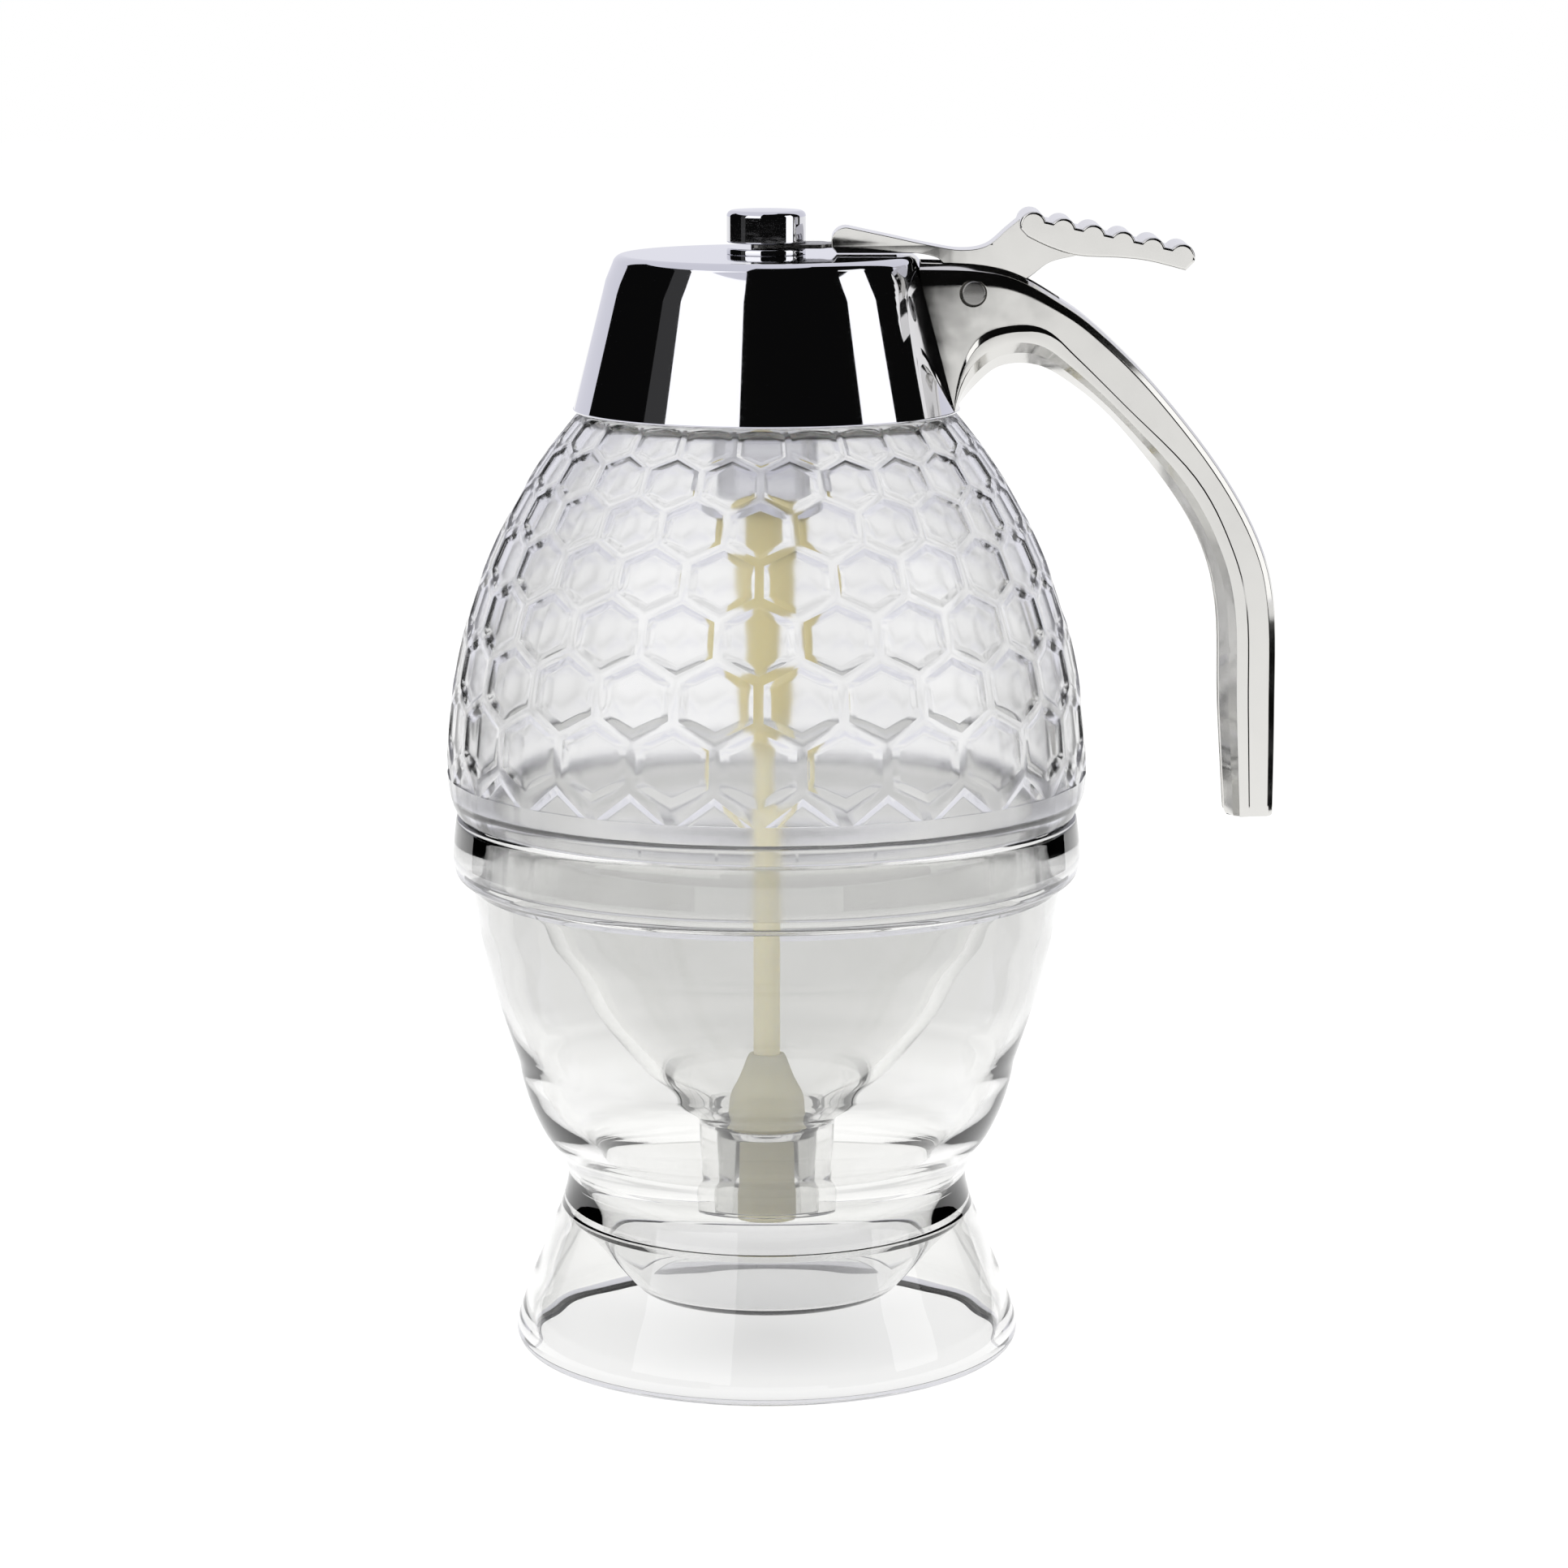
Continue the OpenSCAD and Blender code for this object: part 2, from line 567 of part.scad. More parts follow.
module lever_arm_outline() {
    nose_x = 9.75;
    nose_r = 2.15;
    top = smooth([[18.9, 171], [24, 169.9], [29, 169.1], [32.9, 169.7], [36, 172.2], [38.2, 174]], 2);
    polygon(concat([[nose_x + 0.85, flange_z], [nose_x, flange_z + 0.9]],
        arc([nose_x + nose_r, 170.3], nose_r, 180, 80, 6), top,
        [pad_from, [45, 171.5], [50, 169.6], [46.5, 168.3], [42.5, 167.3], [39.6, 165.2],
         [36.4, 162.9]],
        arc([pin_x, pin_z], 4.1, -10, -170, 8),
        [[27.2, 165], [25.8, flange_z]]));
}

module pad_outline() {
    along = pad_to - pad_from;
    for (i = [0 : ridges - 1])
        translate(pad_from + along * i / (ridges - 1)) circle(r = ridge_r);
    polygon([pad_from + [-1.2, -1.5], pad_from + [0, 0.6], pad_to + [0, 0.6],
             pad_to + [1.9, -0.4], pad_to + [1.2, -1.9], [52.5, 168.1], [46.5, 168.3],
             [42.3, 169.4]]);
}

module thumb_lever() {
    color(chrome) difference() {
        rotate([90, 0, 0]) {
            linear_extrude(arm_w, center = true) lever_arm_outline();
            linear_extrude(pad_w, center = true) pad_outline();
        }
        translate([pin_x, 0, pin_z]) rotate([90, 0, 0])
            cylinder(r = pin_r + slip, h = arm_w + 2, center = true);
        // the channel's inside, with the fork's neck up against its roof
        translate([fork_neck_x, -fork_neck_w / 2 - 0.05, flange_z - 1])
            cube([fork_end_x + 0.3 - fork_neck_x, fork_neck_w + 0.1,
                  fork_z + fork_t - flange_z + 1]);
        rivet_places() cylinder(r = rivet_r, h = rivet_h);
    }
}

rivet_r = 0.9;
rivet_h = 1.5;               // blind: the arm is 1.7 mm or more over the fork's underside
fork_end_x = 19.3;
fork_neck_x = 9;
fork_neck_w = 5.2;
fork_tip_x = -2.5;

module rivet_places() {
    for (x = [13.4, 17.2]) translate([x, 0, fork_z]) children();
}

module lift_fork() {
    fork_w = 8.6;
    gap_w = 2 * stud_r + 0.9;
    gap_end_x = 3.6;
    color(steel) translate([0, 0, fork_z]) linear_extrude(fork_t) difference() {
        union() {
            translate([fork_tip_x + 1.2, -fork_w / 2]) square([10.7, fork_w]);
            for (s = [-1, 1]) translate([fork_tip_x + 1.2, s * (fork_w - 2) / 2])
                circle(r = 1);
            translate([fork_neck_x, -fork_neck_w / 2])
                square([fork_end_x - fork_neck_x, fork_neck_w]);
        }
        translate([fork_tip_x - 1, -gap_w / 2]) square([gap_end_x - fork_tip_x + 1, gap_w]);
        translate([gap_end_x, 0]) circle(r = gap_w / 2);
        for (x = [13.4, 17.2]) translate([x, 0]) circle(r = rivet_r + 0.02);
    }
}

module fork_rivets() {
    color(steel) rivet_places() {
        translate([0, 0, -0.4]) cylinder(r = 1.4, h = 0.4);
        cylinder(r = rivet_r - 0.02, h = rivet_h - 0.15);
    }
}

stand();
jar_dome();
jar_funnel();
outlet_seat();
lid_gasket();
cap_shell();
cap_liner();
handle();
handle_screws();
pivot_pin();
guide_bush();
spring_barrel();
return_spring();
spring_washer();
plunger_stud();
knob();
plunger_rod();
stopper();
thumb_lever();
lift_fork();
fork_rivets();
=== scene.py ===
"""Honey dispenser: the looks of the clear jar, its drip stand, the chrome lid and the thumb lever,
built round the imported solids."""

import math

import bmesh
import bpy
from bpy.props import FloatProperty, FloatVectorProperty, IntProperty, PointerProperty
from mathutils import Matrix, Vector


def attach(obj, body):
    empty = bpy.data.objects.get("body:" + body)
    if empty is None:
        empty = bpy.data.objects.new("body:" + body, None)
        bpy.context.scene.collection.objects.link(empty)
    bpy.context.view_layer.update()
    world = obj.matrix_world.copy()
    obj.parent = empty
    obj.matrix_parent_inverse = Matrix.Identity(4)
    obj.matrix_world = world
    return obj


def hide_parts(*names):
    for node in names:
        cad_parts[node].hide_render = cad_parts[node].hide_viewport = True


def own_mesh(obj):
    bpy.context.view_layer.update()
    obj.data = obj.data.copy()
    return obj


bl_info = {
    "name": "Honey dispenser",
    "version": (1, 0, 0),
    "blender": (4, 5, 0),
    "location": "3D View > Sidebar > Honey",
    "description": "Clear honey jar in a drip stand, with a chrome lid, handle, lever and plunger",
    "category": "Add Mesh",
}

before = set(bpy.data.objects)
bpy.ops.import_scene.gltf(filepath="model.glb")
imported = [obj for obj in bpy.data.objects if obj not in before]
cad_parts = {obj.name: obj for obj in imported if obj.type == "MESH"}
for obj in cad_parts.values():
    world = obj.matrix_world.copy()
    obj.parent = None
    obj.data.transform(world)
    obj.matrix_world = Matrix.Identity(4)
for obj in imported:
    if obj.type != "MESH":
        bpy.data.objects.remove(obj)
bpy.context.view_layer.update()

MM = 0.001
TURN = 2 * math.pi
FINE = 192       # steps round a turned piece that shows its outline
SMALL = 64       # steps round a small turned piece
CURVE = 6        # steps between neighbouring points of an outline's curve
MOST_CUT = 0.48  # share of a side that an eased corner may take
SHARP = 1.2      # turn between faces, in radians, that makes an edge of a slab
SAME = 1e-7      # metres within which two places are one
WELD = 2e-6      # metres within which two vertices are welded


# ---- Sizes and colours that a user would change ----

def length(name, text, mm):
    return FloatProperty(name=name, description=text, default=mm * MM, unit="LENGTH", precision=5)


def shade(name, text, code):
    return FloatVectorProperty(name=name, description=text, default=linear(code), size=3,
                               subtype="COLOR", min=0, max=1)


def linear(code):
    """sRGB hex to linear."""
    parts = [int(code[i:i + 2], 16) / 255 for i in (1, 3, 5)]
    return tuple(c / 12.92 if c <= 0.04045 else ((c + 0.055) / 1.055) ** 2.4 for c in parts)


class StandSizes(bpy.types.PropertyGroup):
    foot_r: length("Foot radius", "Largest radius of the foot", 38.9)
    waist_r: length("Waist radius", "Radius of the waist", 30.8)
    waist_z: length("Waist height", "Height of the waist", 26.8)
    rim_z: length("Rim height", "Height of the rim that the jar rests on", 83.7)
    band_r: length("Band radius", "Outer radius of the rim band", 48)
    band_h: length("Band height", "Height of the rim band", 9.3)
    dish_r: length("Dish radius", "Radius of the drip dish's floor", 19.5)
    dish_z: length("Dish height", "Height of the drip dish's floor", 8.5)


class JarSizes(bpy.types.PropertyGroup):
    dome_r: length("Dome radius", "Largest radius of the dome", 48.745)
    mid_z: length("Middle height", "Height of the dome's largest radius", 90)
    arc_r: length("Arc radius", "Radius of the arc that the dome's outline follows", 83.65)
    top_z: length("Top height", "Height of the dome's top, under the cap", 144.5)
    wall: length("Wall", "Wall of the dome", 2.6)
    neck_r: length("Neck radius", "Outer radius of the neck", 23.2)
    neck_z: length("Neck height", "Height of the neck's mouth", 153.5)
    nozzle_r: length("Nozzle radius", "Outer radius of the nozzle", 10.5)
    nozzle_z: length("Nozzle height", "Height of the nozzle's mouth", 21.4)
    cells: IntProperty(name="Cells", description="Honeycomb cells round the dome", default=24)
    rows: IntProperty(name="Rows", description="Rows of cells", default=9)
    depth: length("Cell depth", "Depth of a cell at the dome's largest radius", 0.33)


class LidSizes(bpy.types.PropertyGroup):
    cap_r: length("Cap radius", "Radius of the cap at its lower edge", 29.2)
    cap_z: length("Cap height", "Height of the cap's lower edge", 144.8)
    cap_top_z: length("Cap top", "Height of the cap's top", 168.3)
    cap_wall: length("Cap wall", "Wall of the cap", 0.9)
    knob_r: length("Knob radius", "Radius of the knob and of the boss under it", 5.95)
    knob_h: length("Knob height", "Height of the knob", 4.8)


class LeverSizes(bpy.types.PropertyGroup):
    handle_w: length("Handle width", "Width of the handle at the cap", 15)
    tail_w: length("Tail width", "Width of the handle's tail", 11.6)
    pad_w: length("Pad width", "Width of the thumb pad", 13)
    arm_w: length("Arm width", "Width of the lever's arm", 6.8)
    pin_r: length("Pin radius", "Radius of the pivot pin", 1.8)


class PlungerSizes(bpy.types.PropertyGroup):
    sleeve_r: length("Sleeve radius", "Radius of the plunger's thick part", 4.8)
    rod_r: length("Rod radius", "Radius of the plunger's thin rod", 2.05)
    stopper_r: length("Stopper radius", "Largest radius of the stopper", 6.2)
    stud_r: length("Stud radius", "Radius of the stud that the knob is screwed on", 2)
    wire: length("Spring wire", "Wire of the return spring", 0.9)
    coil_r: length("Spring radius", "Mean radius of the return spring", 4.9)


class Finishes(bpy.types.PropertyGroup):
    # The clear mouldings' tint is partly the acrylic's own faint tint and partly painted shade: it
    # is a shade darker, so that what shows through the stand and the funnel is dimmer.
    acrylic: shade("Acrylic", "Tint of the clear mouldings", "#F5F5F4")
    # The dome's tint is paler than the other mouldings' tint of the same acrylic: painted light
    # that brightens the honeycomb dome.
    dome: shade("Dome acrylic", "Tint of the honeycomb dome", "#F9F9F9")
    chrome: shade("Chrome", "Bright plate on the cap, barrel, bush and knob", "#D9D9DE")
    casting: shade("Plated casting", "Plate on the handle and the lever", "#D9D8D5")
    steel: shade("Steel", "Pin, screws, washer, stud and rivets", "#9B9A98")
    cream: shade("Nylon", "Plunger of natural nylon, where it is thick", "#E2D6A2")
    pale: shade("Thin nylon", "Plunger of natural nylon, where it is thin", "#F3ECCE")
    silicone: shade("Silicone", "Stopper", "#F6F0D2")
    liner: shade("Liner", "Screw liner of the cap, and the seal", "#E9E9E6")
    floor: shade("Floor", "Table top and background", "#FFFFFF")


GROUPS = {"honey_stand": StandSizes, "honey_jar": JarSizes, "honey_lid": LidSizes,
          "honey_lever": LeverSizes, "honey_plunger": PlungerSizes, "honey_finish": Finishes}


class Sizes:
    """A group's lengths in millimetres."""

    def __init__(self, group):
        for key in group.bl_rna.properties.keys():
            value = getattr(group, key)
            if isinstance(value, float):
                setattr(self, key, value / MM)
            elif isinstance(value, int):
                setattr(self, key, value)


# ---- Curves in the half section: (radius, height) in millimetres ----

def smooth(points, steps=CURVE):
    """Curve through the points, with that many steps between neighbours."""
    def pick(i):
        return Vector(points[max(0, min(len(points) - 1, i))])
    out = []
    for i in range(len(points) - 1):
        a, b, c, d = (pick(i + k) for k in (-1, 0, 1, 2))
        for s in range(steps):
            t = s / steps
            out.append(tuple((2 * b + (c - a) * t + (2 * a - 5 * b + 4 * c - d) * t * t
                              + (3 * b - a - 3 * c + d) * t ** 3) / 2))
    return out + [tuple(points[-1])]


def arc(centre, radius, start, end, steps):
    """Arc in degrees."""
    turns = [math.radians(start + (end - start) * i / steps) for i in range(steps + 1)]
    return [(centre[0] + radius * math.cos(t), centre[1] + radius * math.sin(t)) for t in turns]


def eased(points, steps=4):
    """Corners given as (x, y, radius) become arcs, plain points stay."""
    out = []
    n = len(points)
    for i, p in enumerate(points):
        if len(p) == 2 or p[2] <= 0:
            out.append((p[0], p[1]))
            continue
        here = Vector(p[:2])
        to_a = Vector(points[i - 1][:2]) - here
        to_b = Vector(points[(i + 1) % n][:2]) - here
        half = to_a.angle(to_b) / 2
        cut = min(p[2] / math.tan(half), MOST_CUT * to_a.length, MOST_CUT * to_b.length)
        a, b = here + to_a.normalized() * cut, here + to_b.normalized() * cut
        for s in range(steps + 1):
            t = s / steps
            out.append(tuple(a * (1 - t) ** 2 + here * 2 * t * (1 - t) + b * t * t))
    return out


# ---- Pieces ----

def line_of(bm, points, closed=False):
    """Vertices at the points, in metres, and the edges that join them, in one list."""
    verts = [bm.verts.new(p) for p in points]
    return verts + [bm.edges.new(pair) for pair in zip(verts, verts[1:] + verts[:closed])]


def swept(bm, geom, angle, steps, rise=0, merge=False):
    """Spins geometry round the jar's axis, and lifts it so many metres at each step."""
    bmesh.ops.spin(bm, geom=geom, cent=(0, 0, 0), axis=(0, 0, 1), angle=angle, steps=steps,
                   dvec=(0, 0, rise), use_merge=merge)


def coiled(bm, geom, turns, steps, rise):
    """Sweeps geometry up a helix, with so many steps a turn, and closes its ends."""
    swept(bm, geom, TURN * turns, int(steps * turns), rise)
    bmesh.ops.holes_fill(bm, edges=[e for e in bm.edges if e.is_boundary], sides=0)
    return bm


def turned(profile, steps=FINE):
    """Bmesh of a profile spun round the jar's axis. A profile that starts and ends on the axis
    is left open there."""
    bm = bmesh.new()
    closed = profile[0][0] > 0 or profile[-1][0] > 0
    swept(bm, line_of(bm, [(r * MM, 0, z * MM) for r, z in profile], closed), TURN, steps,
          merge=True)
    bmesh.ops.remove_doubles(bm, verts=bm.verts, dist=1e-6)
    return bm


def slab(outline, half_w, ease, segments=3):
    """Bmesh of an outline in the XZ plane, extruded to both sides of it, with eased edges."""
    bm = bmesh.new()
    verts = [bm.verts.new((x * MM, -half_w * MM, z * MM)) for x, z in outline]
    face = bm.faces.new(verts)
    made = bmesh.ops.extrude_face_region(bm, geom=[face])
    moved = [v for v in made["geom"] if isinstance(v, bmesh.types.BMVert)]
    bmesh.ops.translate(bm, verts=moved, vec=(0, 2 * half_w * MM, 0))
    bmesh.ops.recalc_face_normals(bm, faces=bm.faces)
    if ease:
        bm.normal_update()
        rim = [e for e in bm.edges if e.calc_face_angle(0) > SHARP
               and abs(e.verts[0].co.y - e.verts[1].co.y) < SAME]
        bmesh.ops.bevel(bm, geom=rim, offset=ease * MM, offset_type="OFFSET", affect="EDGES",
                        segments=segments, profile=0.5, material=-1, clamp_overlap=True)
    return bm


def place_at(x, z, quarters=0):
    """Matrix of so many quarter turns about X, then a move to x and z."""
    turn = Matrix.Rotation(quarters * math.pi / 2, 4, "X")
    return Matrix.Translation((x * MM, 0, z * MM)) @ turn


def placed(bm, x, z, quarters=0):
    bmesh.ops.transform(bm, matrix=place_at(x, z, quarters), verts=bm.verts)
    return bm


def drafted(bm, high, low=0, start=0, end=1, slope=0.05):
    """Gives the sides of a slab a casting's draft: narrower lower down. Where x is less than start
    the sides are upright below low, and from there to end they turn into the full draft."""
    cuts, inside = 5, 2  # cuts from start to end, and the half width that holds no side
    planes = []
    if low:
        planes = [((0, 0, low), (0, 0, 1))] + [
            ((start + (end - start) * i / cuts, 0, 0), (1, 0, 0)) for i in range(cuts + 1)]
    for at, facing in planes:
        bmesh.ops.bisect_plane(bm, geom=[*bm.verts, *bm.edges, *bm.faces], dist=SAME,
                               plane_co=Vector(at) * MM, plane_no=facing)
    for v in bm.verts:
        if abs(v.co.y) > inside * MM:
            full = min(1, max(0, (v.co.x / MM - start) / (end - start)))
            height = max(v.co.z, low * MM) * (1 - full) + v.co.z * full
            v.co.y -= math.copysign(slope * (high * MM - height), v.co.y)
    return bm


def grouped(*parts):
    """One bmesh of several."""
    whole = bmesh.new()
    for part in parts:
        mesh = bpy.data.meshes.new("part")
        part.to_mesh(mesh)
        part.free()
        whole.from_mesh(mesh)
        bpy.data.meshes.remove(mesh)
    return whole


def object_of(name, bm):
    """New object in the scene with the bmesh as its mesh."""
    mesh = bpy.data.meshes.new(name)
    bm.to_mesh(mesh)
    bm.free()
    made = bpy.data.objects.new(name, mesh)
    bpy.context.scene.collection.objects.link(made)
    return made


def solid(bm):
    """Temporary object of a bmesh, for cutting and joining."""
    bmesh.ops.recalc_face_normals(bm, faces=bm.faces)
    return object_of("work", bm)


def combined(bm, steps):
    """The bmesh after (operation, other bmesh) steps of exact boolean work."""
    base = solid(bm)
    others = []
    for how, other in steps:
        others.append(solid(other))
        modifier = base.modifiers.new(how, "BOOLEAN")
        modifier.operation, modifier.solver, modifier.object = how, "EXACT", others[-1]
    bpy.context.view_layer.update()
    shaped = base.evaluated_get(bpy.context.evaluated_depsgraph_get())
    out = bmesh.new()
    out.from_mesh(shaped.data)
    for made in [base, *others]:
        mesh = made.data
        bpy.data.objects.remove(made)
        bpy.data.meshes.remove(mesh)
    bmesh.ops.remove_doubles(out, verts=out.verts, dist=WELD)
    bmesh.ops.dissolve_degenerate(out, edges=out.edges, dist=1e-6)
    return out


def piece(name, bm, body, finish, slot, *replaced, crease=32, flats=False):
    """Finishes a bmesh as a piece that rides on a body and stands for the solids it replaces.
    Flats keep their even shading between rounded edges. Clear pieces let the lamps through."""
    bmesh.ops.recalc_face_normals(bm, faces=bm.faces)
    bm.normal_update()
    for face in bm.faces:
        face.smooth = True
    for edge in bm.edges:
        edge.smooth = edge.calc_face_angle(0) < math.radians(crease)
    made = object_of(name, bm)
    made.data.materials.append(finish)
    if flats:
        made.modifiers.new("even_flats", "WEIGHTED_NORMAL").keep_sharp = True
    if slot.startswith("clear"):
        made.visible_shadow = False
    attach(made, body)
    if replaced:
        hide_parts(*replaced)
    return made


def dressed(node, finish):
    """A better material on a solid whose shape is right as it is."""
    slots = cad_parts[node].data.materials
    slots.clear()
    slots.append(finish)


# ---- Materials ----

def add(tree, kind, settings=None, **inputs):
    """Adds a node. Inputs take numbers, colours or another node's output. Names use _ for a
    space, and in0, in1 ... pick a socket by its number."""
    node = tree.nodes.new(kind)
    for key, value in (settings or {}).items():
        setattr(node, key, value)
    for key, value in inputs.items():
        socket = node.inputs[int(key[2:])] if key[:2] == "in" and key[2:].isdigit() \
            else node.inputs[key.replace("_", " ")]
        if isinstance(value, bpy.types.NodeSocket):
            tree.links.new(value, socket)
        else:
            socket.default_value = value
    return node


def blank_tree(owner):
    """The node tree of a material or a world, emptied."""
    owner.use_nodes = True
    owner.node_tree.nodes.clear()
    return owner.node_tree


NOISE_SPREAD = (0.3, 0.7)  # between these the noise has nearly all its values
WAVE_FACTOR = 20           # the wave node's own factor on its scale
RING_MM = 0.35             # height for a radian of the wave: a ring every 2.2 mm


def blotches(size_mm, detail=2.0, stretch=None):
    """Pattern of noise whose blotches are about that many millimetres."""
    def pattern(tree, place):
        if stretch:
            place = add(tree, "ShaderNodeMapping", Vector=place, Scale=stretch).outputs[0]
        return add(tree, "ShaderNodeTexNoise", Vector=place, Scale=1 / (size_mm * MM),
                   Detail=detail).outputs["Fac"]
    return pattern


def tool_rings(tree, place):
    """Pattern of rings round the axis, as a lathe's tool leaves them."""
    return add(tree, "ShaderNodeTexWave", {"wave_type": "BANDS", "bands_direction": "Z"},
               Vector=place, Scale=1 / (RING_MM * MM) / WAVE_FACTOR,
               Distortion=0.4).outputs["Fac"]


def thickness(tree, place):
    """Pattern that goes from 0 on the plunger's thin rod to 0.9 on its thick part, with a
    mottle over both."""
    height = add(tree, "ShaderNodeSeparateXYZ", Vector=place).outputs["Z"]
    thick, mottle = (
        add(tree, "ShaderNodeMapRange", Value=value, From_Min=least, From_Max=most, To_Min=0,
            To_Max=full).outputs[0]
        for value, (least, most), full in ((height, (0.09, 0.1), 0.9),
                                           (blotches(7, 3)(tree, place), NOISE_SPREAD, 0.1)))
    return add(tree, "ShaderNodeMath", {"operation": "ADD"}, in0=thick, in1=mottle).outputs[0]


def finish_of(name, rough, drift=None, relief=None, **shader):
    """New material with a Principled shader. Rough, drift and relief each hold a pattern and what
    it gives: the roughness from low to high, two near shades of the base colour, or a bump's
    depth in millimetres and its strength."""
    made = bpy.data.materials.new(name)
    tree = blank_tree(made)
    place = add(tree, "ShaderNodeTexCoord").outputs["Object"]
    pattern, low, high, *spread = rough
    least, most = spread or NOISE_SPREAD
    shader["Roughness"] = add(tree, "ShaderNodeMapRange", Value=pattern(tree, place),
                              From_Min=least, From_Max=most, To_Min=low, To_Max=high).outputs[0]
    if drift:
        pattern, low, high = drift
        shader["Base_Color"] = add(tree, "ShaderNodeMix", {"data_type": "RGBA"},
                                   in0=pattern(tree, place), in6=(*low, 1),
                                   in7=(*high, 1)).outputs[2]
    if relief:
        pattern, depth_mm, strength = relief
        shader["Normal"] = add(tree, "ShaderNodeBump", Height=pattern(tree, place),
                               Distance=depth_mm * MM, Strength=strength).outputs[0]
    bsdf = add(tree, "ShaderNodeBsdfPrincipled", **shader)
    add(tree, "ShaderNodeOutputMaterial", Surface=bsdf.outputs[0])
    return made


def toned(colour, factor):
    return tuple(min(1, c * factor) for c in colour)


def make_materials(f):
    """The ten finishes of the dispenser."""
    made = {}

    # Acrylic (PMMA), injection moulded and water clear: the melt's flow leaves a faint waviness.
    # Its base colour is partly the acrylic's own faint tint and partly painted shade that dims what
    # shows through the stand and the funnel.
    made["acrylic"] = finish_of(
        "acrylic_moulded", (blotches(9), 0.0, 0.018),
        relief=(blotches(14, 1.0, (1, 1, 0.5)), 0.05, 0.35),
        Base_Color=(*f.acrylic, 1), Transmission_Weight=1, IOR=1.49)

    # The same acrylic in the honeycomb mould: the tool's polish is softer in the cells. Its paler
    # base colour is painted light that brightens the dome.
    made["honeycomb"] = finish_of(
        "acrylic_honeycomb", (blotches(5), 0.1, 0.14), relief=(blotches(6, 1.0), 0.05, 0.4),
        Base_Color=(*f.dome, 1), Transmission_Weight=1, IOR=1.49)

    # Bright chrome on a drawn cap: a clean mirror with hair-thin wiping marks.
    made["chrome"] = finish_of(
        "chrome_bright", (blotches(2.2, 4, (1, 1, 6)), 0.015, 0.05),
        Base_Color=(*f.chrome, 1), Metallic=1)

    # Chrome over a tumbled zinc casting: bright, with the casting's slow ripples and a satin haze.
    made["casting"] = finish_of(
        "chrome_on_casting", (blotches(3.5, 4), 0.06, 0.13),
        (blotches(16, 3), toned(f.casting, 0.94), f.casting), (blotches(7, 1.5), 0.06, 0.35),
        Metallic=1)

    # Turned steel, with the tool's rings, drawn coarser than the real ones so that they show.
    made["steel"] = finish_of(
        "steel_turned", (tool_rings, 0.2, 0.34, 0, 1),
        (blotches(4, 3), toned(f.steel, 0.82), f.steel), (tool_rings, 0.01, 0.4), Metallic=1)

    # Drawn spring wire: grey, with the die's streaks along it and a trace of oil.
    streaks = blotches(0.5, 3, (1, 1, 3))
    made["wire"] = finish_of(
        "spring_wire_drawn", (streaks, 0.22, 0.4),
        (streaks, linear("#6E6D6B"), linear("#8F8E8B")), Metallic=1)

    # Natural nylon, moulded: waxy cream that lets some light in, paler where the rod is thin.
    made["nylon"] = finish_of(
        "nylon_natural", (blotches(1.2, 3), 0.32, 0.46), (thickness, f.pale, f.cream),
        (blotches(2, 2), 0.03, 0.3), Subsurface_Weight=0.35, Subsurface_Scale=0.004,
        Subsurface_Radius=(1.0, 0.85, 0.5), IOR=1.53)

    # Silicone rubber, cloudy and soft, with a matt skin.
    made["silicone"] = finish_of(
        "silicone_cloudy", (blotches(0.8, 3), 0.42, 0.6),
        (blotches(5, 3), toned(f.silicone, 0.95), f.silicone), Transmission_Weight=0.35,
        Subsurface_Weight=0.5, Subsurface_Scale=0.005, Subsurface_Radius=(1.0, 0.9, 0.7),
        IOR=1.41)

    # White silicone seal: dusty matt.
    made["seal"] = finish_of(
        "silicone_seal", (blotches(0.6, 3), 0.55, 0.7),
        (blotches(3, 3), toned(f.liner, 0.9), f.liner), Subsurface_Weight=0.2,
        Subsurface_Scale=0.002, IOR=1.41)

    # Polypropylene liner, moulded, with a faint sheen.
    made["liner"] = finish_of(
        "polypropylene_moulded", (blotches(1.5, 3), 0.3, 0.42),
        (blotches(12, 2), toned(f.liner, 0.96), f.liner), Subsurface_Weight=0.1,
        Subsurface_Scale=0.002, IOR=1.49)
    return made


def material(key):
    """A finish by its short name, made once."""
    if not MATERIALS:
        MATERIALS.update(make_materials(bpy.context.scene.honey_finish))
    return MATERIALS[key]


MATERIALS = {}


# ---- Stand ----

